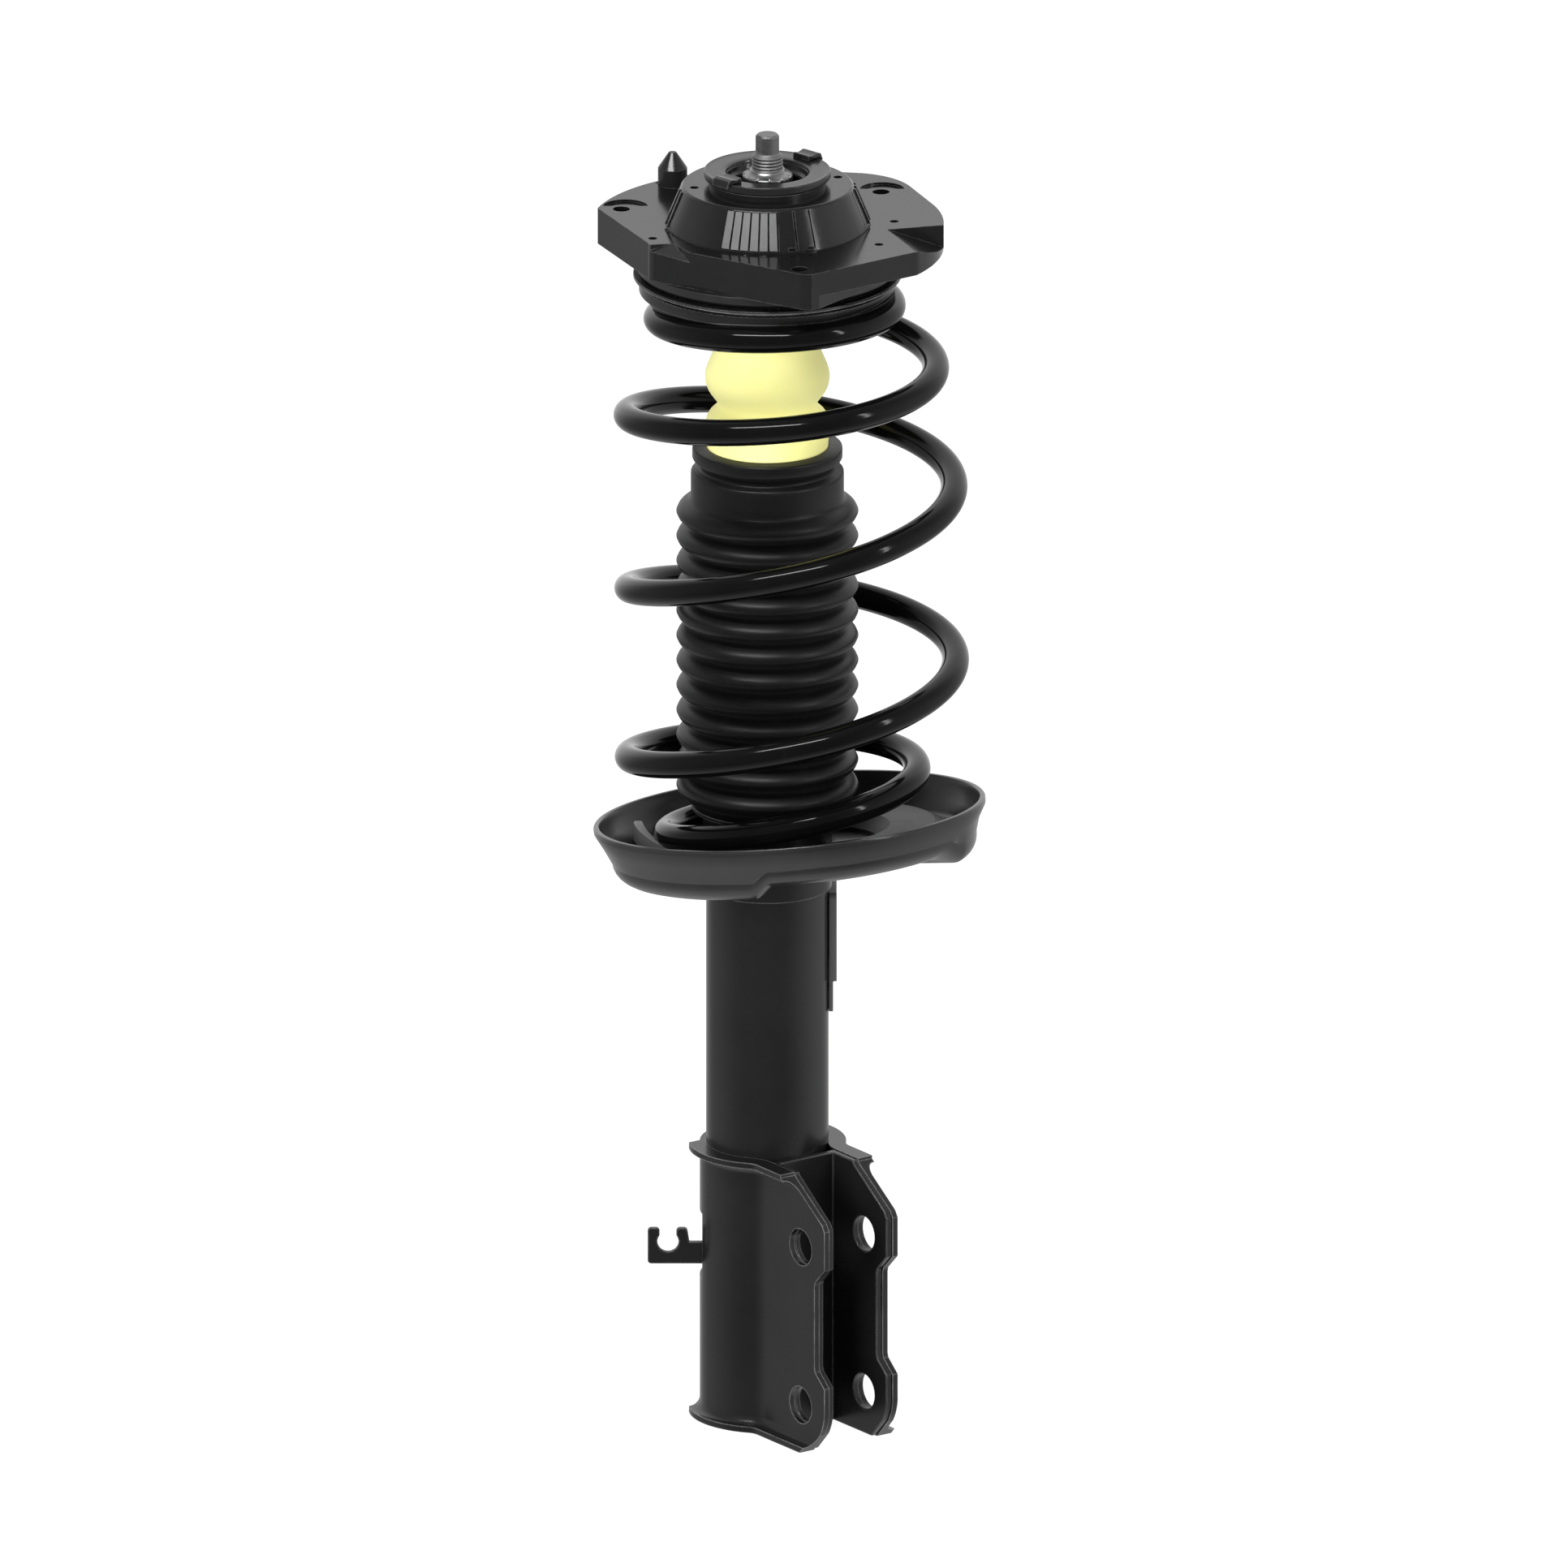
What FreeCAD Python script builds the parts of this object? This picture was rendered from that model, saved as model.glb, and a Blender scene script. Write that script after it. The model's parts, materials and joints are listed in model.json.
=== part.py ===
"""Front suspension strut: top mount, bearing, coil spring, bellows, damper and knuckle bracket.

The frame has +Z up along the piston rod. Its origin is on the rod's axis, in the top face of
the mount plate. The bracket's ears point to -Y, and their bolts lie along X.
Lengths are in millimetres and angles in degrees.
"""
import FreeCAD, Part
import math
import os
import re
import Sketcher

V = FreeCAD.Vector
UP = V(0, 0, 1)

SIZES = (
    # mount plate
    ("plate_thick", 16.6), ("plate_rad", 78.5), ("plate_flat", 72), ("lobe_round", 31.1),
    ("flange_thick", 11), ("relief_rad", 62.1), ("seat_deep", 0.4), ("seat_gap", 0.3), ("pin_room", 0.95),
    ("tower_pcd", 136), ("tower_hole", 3.8), ("tower_phase", 6.7), ("rest_rad", 9.9), ("rest_deep", 1.2),
    ("rest_back", 4.3), ("rest_heading", 54.5),
    ("dimple_rad", 2), ("dimple_deep", 5), ("pin_across", 1), ("pin_ahead", 71), ("pin_rad", 6.55),
    ("pin_shoulder", 7.7), ("pin_tall", 15), ("pin_tip", 1.65), ("pin_shank", 5), ("pin_sunk", 12),
    # ribbed cover, bush and rebound disc
    ("cover_low", 45.2), ("cover_high", 37.8), ("cover_tall", 18.4), ("sleeve_rad", 26),
    ("sleeve_wall", 1.7), ("neck_top", 20.8), ("disc_rad", 28.1), ("disc_thick", 4.5), ("disc_hole", 18.3),
    ("core_rad", 16.4), ("core_top", 10), ("core_low", -12), ("washer_low", 3),
    # piston rod and what it carries
    ("rod_rad", 11), ("stud_rad", 7), ("thread_deep", 0.5), ("thread_pitch", 1.5), ("thread_low", 24),
    ("thread_high", 31.8), ("tip_rad", 5.25), ("tip_top", 41.7), ("tail_rad", 6), ("tail_top", -260),
    ("tail_end", -294), ("nut_rad", 11.3), ("nut_seat", 13.5), ("nut_dome", 22.6), ("nut_top", 25.6),
    ("bore_rad", 16), ("running_gap", 0.05), ("free_gap", 0.4), ("piston_top", -262), ("piston_tall", 20),
    # swivel bearing and upper spring seat
    ("race_in", 38), ("race_out", 56), ("race_low", -21.5), ("ball_rad", 2.2), ("ball_ring", 47),
    ("ball_mid", -22), ("ball_count", 24), ("ball_room", 0.15), ("lip_rad", 59.6), ("lip_top", -22),
    ("lip_low", -23.6),
    ("seat_rad", 57), ("seat_low", -30.8), ("seat_floor", -27.4), ("seat_hole", 15.5),
    # bump stop and bellows
    ("stop_low", -116), ("boot_top", -103), ("boot_valley", 36.7), ("boot_wall", 1.5),
    ("boot_half", 5.33), ("boot_round", 5.88), ("boot_inside", 4.28),
    ("boot_first", -133.6), ("boot_pitch", 11.58), ("boot_count", 12), ("boot_low", -269.6),
    # coil spring
    ("wire_rad", 6), ("coil_heading", -35.5),
    # damper tube
    ("tube_rad", 27.2), ("tube_wall", 2.6), ("tube_top", -218.3), ("tube_low", -549), ("cap_top", -216.3),
    ("inner_rad", 17.5), ("inner_top", -238), ("valve_top", -526), ("valve_low", -538),
    # lower spring dish, in its own tilted frame
    ("dish_rad", 87.3), ("dish_wall", 2.8), ("dish_shift", 16.7), ("dish_height", -269), ("dish_tilt", 8.2),
    ("dish_deep", 25.8), ("dish_shallow", 20), ("dish_lean", 7), ("dish_step", -135),
    ("dish_low_arc", 160), ("dish_corner", 17),
    ("hub_low", -308), ("hub_wall", 1.4), ("hub_flange", 6.4), ("pad_in", 38), ("pad_out", 68),
    ("pad_top", 9.5),
    # stabilizer link bracket and hose bracket
    ("link_thick", 3.6), ("link_top", -311.5), ("link_low", -352), ("link_hole", 6.1),
    ("link_hole_out", 31),
    ("link_hole_height", -331), ("hose_reach", 53.1), ("hose_low", -484.3), ("hose_mid", -474.1),
    ("hose_high", -467.7), ("hose_slot", 4.7), ("hose_slot_out", 44.1), ("hose_thick", 2.5),
    # knuckle bracket
    ("sheet_thick", 2.8), ("ear_out", 20), ("ear_bend", 12), ("ear_tip", 71.6), ("ear_waist", 63.9),
    ("brk_top", -427), ("brk_low", -552.6), ("knuckle_hole", 8.4), ("knuckle_in", 53.4),
    ("knuckle_high", -459.3), ("knuckle_space", 73.5), ("flare_out", 5), ("flare_round", 4),
    ("flare_back", 17.5),
)
# turns below the top end of the wire, height, coil radius, distance of the coil's centre from the rod
COIL = (
    (-0.35, -36.0, 47.5, 10.4), (0.0, -36.0, 49.4, 10.4), (0.5, -40.5, 55.0, 10.4),
    (1.0, -65.2, 68.5, 10.6),
    (1.5, -83.5, 70.0, 13.2), (2.0, -119.8, 73.0, 17.0), (2.5, -162.0, 73.0, 19.0),
    (3.0, -201.3, 72.6, 18.8),
    (3.5, -239.8, 72.3, 18.2), (4.0, -254.0, 56.5, 17.0), (4.5, -275.5, 55.0, 16.7),
    (4.8, -276.5, 54.0, 16.7),
)
NAMES = {name for name, value in SIZES}

DOC = FreeCAD.newDocument("strut_assembly")
SHEET = DOC.addObject("Spreadsheet::Sheet", "Dims")


def fill_sheet():
    """One row for each size: its name, and its value under that name."""
    for row, (name, value) in enumerate(SIZES, 1):
        SHEET.set("A%d" % row, name)
        SHEET.set("B%d" % row, str(value))
        SHEET.setAlias("B%d" % row, name)
    DOC.recompute()


def bound(text):
    """The expression, with each size read from the sheet."""
    return re.sub(r"[a-z_]+", lambda word: ("Dims." if word.group() in NAMES else "") + word.group(),
    str(text))


def value(text):
    return float(SHEET.evalExpression(bound(text)))


def polar(radius, angle):
    return "(%s) * cos(%s)" % (radius, angle), "(%s) * sin(%s)" % (radius, angle)


def new_body(label):
    body = DOC.addObject("PartDesign::Body", label)
    body.Label = label
    return body


def new_sketch(body, name, plane, lift=0, turn=0):
    """A sketch on one of the body's planes, moved along the plane's normal and turned about Z."""
    sketch = body.newObject("Sketcher::SketchObject", name)
    origin = [f for f in body.Origin.OriginFeatures if f.Role == plane + "_Plane"][0]
    sketch.AttachmentSupport = (origin, [""])
    sketch.MapMode = "FlatFace"
    axis = UP if plane == "XY" else V(0, 1, 0)
    sketch.AttachmentOffset = FreeCAD.Placement(V(0, 0, 0), FreeCAD.Rotation(axis, turn))
    sketch.setExpression(".AttachmentOffset.Base.z", bound(lift))
    return sketch


def fix_point(sketch, geometry, position, place):
    """Binds a point's two coordinates to the sheet."""
    for axis, kind, text in ((-2, "DistanceX", place[0]), (-1, "DistanceY", place[1])):
        number = value(text)
        if abs(number) < 1e-9:
            sketch.addConstraint(Sketcher.Constraint("PointOnObject", geometry, position, axis))
            continue
        index = sketch.addConstraint(Sketcher.Constraint(kind, -1, 1, geometry, position, number))
        sketch.setExpression("Constraints[%d]" % index, bound(text))


def fix_radius(sketch, geometry, text):
    index = sketch.addConstraint(Sketcher.Constraint("Radius", geometry, value(text)))
    sketch.setExpression("Constraints[%d]" % index, bound(text))


def add_outline(sketch, corners):
    """A closed outline. A corner is (x, y), or (x, y, radius, side) when an arc leads to it.

    An arc's side is 1 when it bulges to the left of the way it runs, and -1 to the right.
    """
    first = sketch.GeometryCount
    ends = []
    for index, corner in enumerate(corners):
        before = corners[index - 1]
        start = V(value(before[0]), value(before[1]), 0)
        stop = V(value(corner[0]), value(corner[1]), 0)
        if len(corner) == 2:
            sketch.addGeometry(Part.LineSegment(start, stop), False)
            ends.append((1, 2))
            continue
        chord = stop - start
        radius = value(corner[2])
        rise = radius - math.sqrt(max(radius ** 2 - chord.Length ** 2 / 4, 0))
        middle = (start + stop) / 2 + V(-chord.y, chord.x, 0).normalize() * rise * corner[3]
        if corner[3] < 0:
            sketch.addGeometry(Part.Arc(start, middle, stop), False)
            ends.append((1, 2))
        else:
            sketch.addGeometry(Part.Arc(stop, middle, start), False)
            ends.append((2, 1))
    count = len(corners)
    for index, corner in enumerate(corners):
        after = (index + 1) % count
        pair = (first + index, ends[index][1], first + after, ends[after][0])
        sketch.addConstraint(Sketcher.Constraint("Coincident", *pair))
        fix_point(sketch, first + index, ends[index][1], corner)
        if len(corner) == 4:
            fix_radius(sketch, first + index, corner[2])


def add_circle(sketch, place, radius):
    centre = V(value(place[0]), value(place[1]), 0)
    geometry = sketch.addGeometry(Part.Circle(centre, UP, value(radius)), False)
    fix_point(sketch, geometry, 3, place)
    fix_radius(sketch, geometry, radius)


def revolve(body, name, profile, kind="Revolution", angle=360, turn=0):
    """Turns a profile of (radius, height) corners about Z."""
    sketch = new_sketch(body, name + "_profile", "XZ", turn=turn)
    add_outline(sketch, profile)
    feature = body.newObject("PartDesign::" + kind, name)
    feature.Profile = sketch
    feature.ReferenceAxis = (sketch, ["V_Axis"])
    feature.Angle = angle
    DOC.recompute()
    return feature


def turned(label, profile):
    body = new_body(label)
    revolve(body, label + "_turned", profile)
    return body


def extrude(body, kind, sketch, name, length, midplane=False, reverse=False):
    """A pad or a pocket of one sketch."""
    feature = body.newObject("PartDesign::" + kind, name)
    feature.Profile = sketch
    feature.setExpression("Length", bound(length))
    if midplane:
        feature.SideType = "Symmetric"
    feature.Reversed = reverse
    DOC.recompute()
    check_cut(feature, kind)
    return feature


def check_cut(feature, kind):
    """Stops the build when a pocket has taken nothing away."""
    if kind == "Pocket" and feature.Shape.Volume > feature.BaseFeature.Shape.Volume - 0.01:
        raise ValueError(feature.Name + " cuts nothing")


def ring_of(body, name, feature, count, angle=360):
    """Repeats a feature about Z."""
    pattern = body.newObject("PartDesign::PolarPattern", name)
    pattern.Originals = [feature]
    axis = [f for f in body.Origin.OriginFeatures if f.Role == "Z_Axis"][0]
    pattern.Axis = (axis, [""])
    pattern.Angle = angle
    pattern.setExpression("Occurrences", bound(count))
    body.Tip = pattern
    DOC.recompute()
    return pattern


def round_circles(body, name, radius, rims):
    """Rounds the circular edges at the given (radius, height) places."""
    base = body.Tip
    wanted = [(value(r), value(z)) for r, z in rims]
    edges = []
    for index, edge in enumerate(base.Shape.Edges, 1):
        curve = edge.Curve
        if curve.TypeId != "Part::GeomCircle":
            continue
        if any(abs(curve.Radius - r) < 0.01 and abs(curve.Center.z - z) < 0.01 for r, z in wanted):
            edges.append("Edge%d" % index)
    if not edges:
        raise ValueError(name + " finds no edge")
    fillet = body.newObject("PartDesign::Fillet", name)
    fillet.Base = (base, edges)
    fillet.Radius = radius
    DOC.recompute()
    return fillet


def round_upright(body, name, radius, places):
    """Rounds the straight edges that pass near the given (x, y, z) places."""
    base = body.Tip
    edges = []
    for index, edge in enumerate(base.Shape.Edges, 1):
        middle = edge.CenterOfMass
        if any((middle - V(*place)).Length < 0.6 for place in places):
            edges.append("Edge%d" % index)
    if not edges:
        raise ValueError(name + " finds no edge")
    fillet = body.newObject("PartDesign::Fillet", name)
    fillet.Base = (base, edges)
    fillet.Radius = radius
    DOC.recompute()
    return fillet


def cut_notch(body, name, apex, left, right, left_deep, right_deep, reach):
    """A notch in the top face that starts at its apex and deepens outwards between two edges."""
    sections = []
    inner = 0.02
    for step, scale in (("rim", reach), ("apex", inner)):
        ends = [V(*apex, 0) + (V(*end, 0) - V(*apex, 0)) * scale for end in (left, right)]
        along = (ends[1] - ends[0])
        width = along.Length
        along.normalize()
        sketch = new_sketch(body, "%s_%s" % (name, step), "XY")
        turn = FreeCAD.Rotation(along, UP, along.cross(UP))
        sketch.AttachmentOffset = FreeCAD.Placement(ends[0], turn)
        sketch.setExpression(".AttachmentOffset.Base.z", None)
        corners = [(0, 0.5), (0, -left_deep * scale), (width, -right_deep * scale), (width, 0.5)]
        add_outline(sketch, corners)
        sections.append(sketch)
    loft = body.newObject("PartDesign::SubtractiveLoft", name)
    loft.Profile = sections[0]
    loft.Sections = [sections[1]]
    loft.Ruled = True
    DOC.recompute()
    return loft


def cut_from(label, base, tool):
    """The base piece with the tool taken away."""
    base.Label = label + "_blank"
    cut = DOC.addObject("Part::Cut", label)
    cut.Base = base
    cut.Tool = tool
    cut.Label = label
    DOC.recompute()
    return cut


# ---- top mount ----

def cut_disc(body, name, place, radius, depth):
    """A round pocket in the top face."""
    sketch = new_sketch(body, name + "_outline", "XY")
    add_circle(sketch, place, radius)
    return extrude(body, "Pocket", sketch, name, depth)


def cut_rest(body, name, turn, aside):
    """A half-round recess behind the tower hole at a turn, moved aside along its straight edge."""
    hole = polar("tower_pcd / 2", "tower_phase + %s" % turn)
    back = polar("rest_back", "rest_heading")
    along = polar(1, "rest_heading - 90")
    sketch = new_sketch(body, name + "_outline", "XY")
    ends = []
    for reach in ("(rest_rad + %s)" % aside, "(%s - rest_rad)" % aside):
        ends.append(tuple("%s + %s + %s * %s" % (hole[i], back[i], reach, along[i]) for i in range(2)))
    add_outline(sketch, [ends[0], ends[1] + ("rest_rad + 0.001", -1)])
    return extrude(body, "Pocket", sketch, name, "rest_deep")


def mount_plate():
    """Cast plate with three threaded holes, a lobe, two notches and a thinner flange at one side."""
    body = new_body("mount_plate")
    sketch = new_sketch(body, "plate_outline", "XY")
    add_outline(sketch, [
        (30, "-plate_flat"), polar("plate_rad", -16.3) + ("plate_rad", -1), (83, 8),
        (76.5, 35.1, "lobe_round", -1), polar("plate_rad", 48), polar("plate_rad", 128) + ("plate_rad", -1),
        (-59.6, 7.5), (-59.4, 1.5, 6, -1), (-31.5, -66.5), (-27, "-plate_flat", 8, -1),
    ])
    extrude(body, "Pad", sketch, "plate_pad", "plate_thick", reverse=True)
    relief = new_sketch(body, "relief_outline", "XY", lift="-plate_thick")
    add_outline(relief, [
        (-26, -72.9), polar("relief_rad", -71.5), polar("relief_rad", 50) + ("relief_rad", -1),
        polar(120, 50), (120, -110), (-26, -110),
    ])
    extrude(body, "Pocket", relief, "flange_relief", "plate_thick - flange_thick", reverse=True)
    cut_disc(body, "plate_bore", (0, 0), "sleeve_rad", "plate_thick")
    cut_disc(body, "cover_seat", (0, 0), "cover_low + seat_gap", "seat_deep")
    cut_disc(body, "pin_seat", ("-pin_across", "pin_ahead"), "pin_rad + pin_room", "seat_deep")
    cut_disc(body, "pin_socket", ("-pin_across", "pin_ahead"), "pin_shank", "pin_sunk")
    place = polar("tower_pcd / 2", "tower_phase")
    ring_of(body, "tower_holes", cut_disc(body, "tower_drill", place, "tower_hole", "plate_thick"), 3)
    cut_rest(body, "right_rest", 0, 0.5)
    cut_rest(body, "left_rest", 120, 1.8)
    dimples = new_sketch(body, "dimple_outline", "XY")
    for place in ((-54.1, 11.8), (47.5, -30.3), (22.5, -53.7)):
        add_circle(dimples, place, "dimple_rad")
    extrude(body, "Pocket", dimples, "dimples", "dimple_deep")
    cut_notch(body, "side_groove", (38, -38), (61.8, -47.2), (29.9, -71), 10.2, 0.01, 1.25)
    cut_notch(body, "edge_notch", (-51, 0.2), (-60, 5), (-52.5, -12.5), 2.6, 4, 1.5)
    round_circles(body, "bore_rounding", 0.6, [("tower_hole", "-plate_thick")])
    return body


def locator_pin():
    """Pressed pin with a pointed head that finds its hole in the tower."""
    body = turned("locator_pin", [
        (0, "-pin_sunk"), ("pin_shank", "-pin_sunk"), ("pin_shank", "-seat_deep"),
        ("pin_rad", "-seat_deep"),
        ("pin_rad", "pin_shoulder"), ("pin_tip", "pin_tall"), (0, "pin_tall"),
    ])
    round_circles(body, "pin_rounding", 0.6, [("pin_rad", "pin_shoulder"), ("pin_tip", "pin_tall")])
    body.setExpression(".Placement.Base.x", bound("-pin_across"))
    body.setExpression(".Placement.Base.y", bound("pin_ahead"))
    return body


def cover_groove(body, name, start, count, spread):
    """A fan of thin upright grooves in the cover's sloping side."""
    sketch = new_sketch(body, name + "_outline", "XZ", turn=start)
    add_outline(sketch, [
        ("cover_low - 1.3", 1.2), ("cover_low + 3", 1.2), ("cover_high + 3", "cover_tall - 1.2"),
        ("cover_high - 0.9", "cover_tall - 1.2"),
    ])
    groove = extrude(body, "Pocket", sketch, name + "_cut", 0.8, midplane=True)
    if count > 1:
        ring_of(body, name, groove, count, spread)


def cone_cover():
    """Tapered, ribbed cover that stands on the plate round the bush."""
    body = turned("cone_cover", [
        ("sleeve_rad", "-seat_deep"), ("cover_low", "-seat_deep"), ("cover_low", 1),
        ("cover_high + 0.6", "cover_tall - 1"),
        ("cover_high - 0.4", "cover_tall"), ("sleeve_rad", "cover_tall"),
    ])
    shoulders = [("cover_high + 0.6", "cover_tall - 1"), ("cover_high - 0.4", "cover_tall")]
    round_circles(body, "cover_rounding", 0.9, shoulders)
    cover_groove(body, "front_fan", -147.2, 6, 28)
    cover_groove(body, "front_pair", -108.1, 2, 10.8)
    cover_groove(body, "left_fan", 152, 3, 7)
    cover_groove(body, "right_fan", -49, 3, 7)
    slots = new_sketch(body, "foot_slot_outline", "XY", lift=1, turn=-145)
    inside, outside = "cover_low - 2.2", "cover_low + 1"
    add_outline(slots, [(inside, -1.7), (outside, -1.7), (outside, 1.7), (inside, 1.7)])
    slot = extrude(body, "Pocket", slots, "foot_slot", 1.2, reverse=True)
    ring_of(body, "foot_slots", slot, 5, 45)
    holes = new_sketch(body, "top_dimple_outline", "XY", lift="cover_tall")
    for angle in (154, -18):
        add_circle(holes, polar(32.8, angle), "dimple_rad")
    extrude(body, "Pocket", holes, "top_dimples", "dimple_deep")
    return body


def outer_sleeve():
    """Steel ring between the plate and the rubber, with a rolled neck under the disc."""
    return turned("outer_sleeve", [
        ("sleeve_rad - sleeve_wall", "-plate_thick"), ("sleeve_rad", "-plate_thick"),
        ("sleeve_rad", "neck_top"), ("sleeve_rad - sleeve_wall", "neck_top"),
    ])


def bush_rubber():
    """Rubber bonded between the outer sleeve and the core."""
    return turned("bush_rubber", [
        ("core_rad", "core_low + 1"), ("core_rad + 2.5", "core_low + 3.5"),
        ("sleeve_rad - sleeve_wall", "core_low - 1"),
        ("sleeve_rad - sleeve_wall", "core_top + 5"), ("core_rad + 3", "core_top - 2"),
        ("core_rad", "core_top - 0.5"),
    ])


def inner_core():
    """Steel core that the rod's stud passes through."""
    return turned("inner_core", [
        ("stud_rad", "core_low"), ("core_rad", "core_low"), ("core_rad", "core_top"),
        ("stud_rad", "core_top"),
    ])


def rod_washer():
    """Washer between the rod's shoulder and the core."""
    return turned("rod_washer", [
        ("stud_rad", "core_low - washer_low"), ("core_rad + 1", "core_low - washer_low"),
        ("core_rad + 1", "core_low"), ("stud_rad", "core_low"),
    ])


def top_washer():
    """Stepped washer under the top nut."""
    return turned("top_washer", [
        ("stud_rad", "core_top"), ("core_rad - 0.6", "core_top"), ("core_rad - 0.6", "core_top + 1.6"),
        ("core_rad - 2.6", "core_top + 2"), ("core_rad - 2.6", "nut_seat"), ("stud_rad", "nut_seat"),
    ])


def top_nut():
    """Domed flange nut with small notches in its foot."""
    body = turned("top_nut", [
        ("stud_rad", "nut_seat"), ("nut_rad - 1.6", "nut_seat"), ("nut_rad - 1.2", "nut_seat + 3.5"),
        ("nut_rad", "nut_seat + 5"), ("nut_rad", "nut_dome - 2"), ("stud_rad + 1.6", "nut_top", 6.5, -1),
        ("stud_rad", "nut_top"),
    ])
    notch = new_sketch(body, "nut_notch_outline", "XY", lift="nut_dome - 2.6", turn=-139)
    inside, outside = "nut_rad - 1.2", "nut_rad + 1"
    add_outline(notch, [(inside, -0.7), (outside, -0.7), (outside, 0.7), (inside, 0.7)])
    cut = extrude(body, "Pocket", notch, "nut_notch", 6)
    ring_of(body, "nut_notches", cut, 12)
    return body


def rebound_disc():
    """Disc over the bush that limits the rod's pull, with a rolled inner lip."""
    body = turned("rebound_disc", [
        ("disc_hole", "neck_top"), ("disc_rad - 1.5", "neck_top"), ("disc_rad", "neck_top + 1.2"),
        ("disc_rad", "neck_top + disc_thick"), ("disc_rad - 2.4", "neck_top + disc_thick - 0.5"),
        ("disc_hole + 2.6", "neck_top + disc_thick - 0.5"),
        ("disc_hole + 0.4", "neck_top + disc_thick - 1"),
        ("disc_hole", "neck_top + disc_thick - 2"),
    ])
    edges = [("disc_rad", "neck_top + disc_thick"), ("disc_hole + 0.4", "neck_top + disc_thick - 1")]
    round_circles(body, "disc_rounding", 0.5, edges)
    return body


def rim_clips():
    """Two small bent clips that hold the disc at its rim."""
    body = new_body("rim_clips")
    body.AllowCompound = True
    sketch = new_sketch(body, "clip_outline", "XZ", turn=10.5)
    add_outline(sketch, [
        ("disc_rad - 7", "neck_top + disc_thick - 0.5"), ("disc_rad - 3", "neck_top + disc_thick"),
        ("disc_rad + 0.4", "neck_top + disc_thick + 0.2"), ("disc_rad + 1.9", "neck_top + disc_thick - 2"),
        ("disc_rad + 2.6", "neck_top + disc_thick - 1.4"),
        ("disc_rad + 1.4", "neck_top + disc_thick + 1.6"),
        ("disc_rad - 0.6", "neck_top + disc_thick + 2.2"),
        ("disc_rad - 3.6", "neck_top + disc_thick + 1.4"),
        ("disc_rad - 6.6", "neck_top + disc_thick + 2"),
    ])
    clip = extrude(body, "Pad", sketch, "clip_pad", 9.5, midplane=True)
    ring_of(body, "clip_pair", clip, 2)
    return body


# ---- piston rod ----

def thread_corners():
    """Ring ridges for the stud's thread, from its low end up."""
    corners = []
    turns = int((value("thread_high") - value("thread_low")) / value("thread_pitch"))
    for ridge in range(turns):
        low = "thread_low + %d * thread_pitch" % ridge
        corners.append(("stud_rad", low))
        corners.append(("stud_rad - thread_deep", low + " + thread_pitch / 2"))
    corners.append(("stud_rad", "thread_low + %d * thread_pitch" % turns))
    return corners


def piston_rod():
    """Chromed rod with a threaded stud above and a turned tail for the piston below."""
    body = turned("piston_rod", [
        (0, "tail_end"), ("tail_rad - 0.8", "tail_end"), ("tail_rad", "tail_end + 1"),
        ("tail_rad", "tail_top"),
        ("rod_rad", "tail_top"), ("rod_rad", "core_low - washer_low"),
        ("stud_rad", "core_low - washer_low"),
    ] + thread_corners() + [
        ("tip_rad + 0.2", "thread_high + 1.2"), ("tip_rad", "thread_high + 1.6"),
        ("tip_rad", "tip_top - 0.9"),
        ("tip_rad - 0.9", "tip_top"), (0, "tip_top"),
    ])
    flats = new_sketch(body, "tip_flat_outline", "XY", lift="tip_top")
    for side in (-1, 1):
        near = side * 4.6
        far = side * 7
        add_outline(flats, [(near, -6), (far, -6), (far, 6), (near, 6)])
    extrude(body, "Pocket", flats, "tip_flats", "tip_top - thread_high - 2.4")
    return body


def rebound_stop():
    """Collar on the rod that meets the guide at full extension."""
    body = turned("rebound_stop", [
        ("rod_rad", "inner_top - 17.4"), ("rod_rad + 3", "inner_top - 17.4"),
        ("rod_rad + 3", "inner_top - 6.4"),
        ("rod_rad", "inner_top - 6.4"),
    ])
    round_circles(body, "rebound_rounding", 1, [("rod_rad + 3", "inner_top - 6.4"),
    ("rod_rad + 3", "inner_top - 17.4")])
    return body


def piston():
    """Drilled piston with a groove for its ring."""
    body = turned("piston", [
        ("tail_rad", "piston_top - piston_tall"), ("bore_rad - 0.4", "piston_top - piston_tall"),
        ("bore_rad - 0.4", "piston_top - 15"), ("bore_rad - 1.6", "piston_top - 15"),
        ("bore_rad - 1.6", "piston_top - 5"), ("bore_rad - 0.4", "piston_top - 5"),
        ("bore_rad - 0.4", "piston_top"), ("tail_rad", "piston_top"),
    ])
    ports = new_sketch(body, "port_outline", "XY", lift="piston_top")
    add_circle(ports, (10.5, 0), 1.4)
    port = extrude(body, "Pocket", ports, "piston_port", "piston_tall")
    ring_of(body, "piston_ports", port, 8)
    return body


def piston_ring():
    """Sliding band in the piston's groove."""
    return turned("piston_ring", [
        ("bore_rad - 1.6", "piston_top - 15"), ("bore_rad - running_gap", "piston_top - 15"),
        ("bore_rad - running_gap", "piston_top - 5"), ("bore_rad - 1.6", "piston_top - 5"),
    ])


def rebound_shims():
    """Stack of valve discs under the piston."""
    return turned("rebound_shims", [
        ("tail_rad", "piston_top - piston_tall - 2"), (9.5, "piston_top - piston_tall - 2"),
        (9.5, "piston_top - piston_tall - 1"), (13, "piston_top - piston_tall - 1"),
        (13, "piston_top - piston_tall"), ("tail_rad", "piston_top - piston_tall"),
    ])


def compression_shims():
    """Stack of valve discs over the piston."""
    return turned("compression_shims", [
        ("tail_rad", "piston_top"), (13, "piston_top"), (13, "piston_top + 1"), (10, "piston_top + 1"),
        (10, "tail_top"), ("tail_rad", "tail_top"),
    ])


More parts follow.
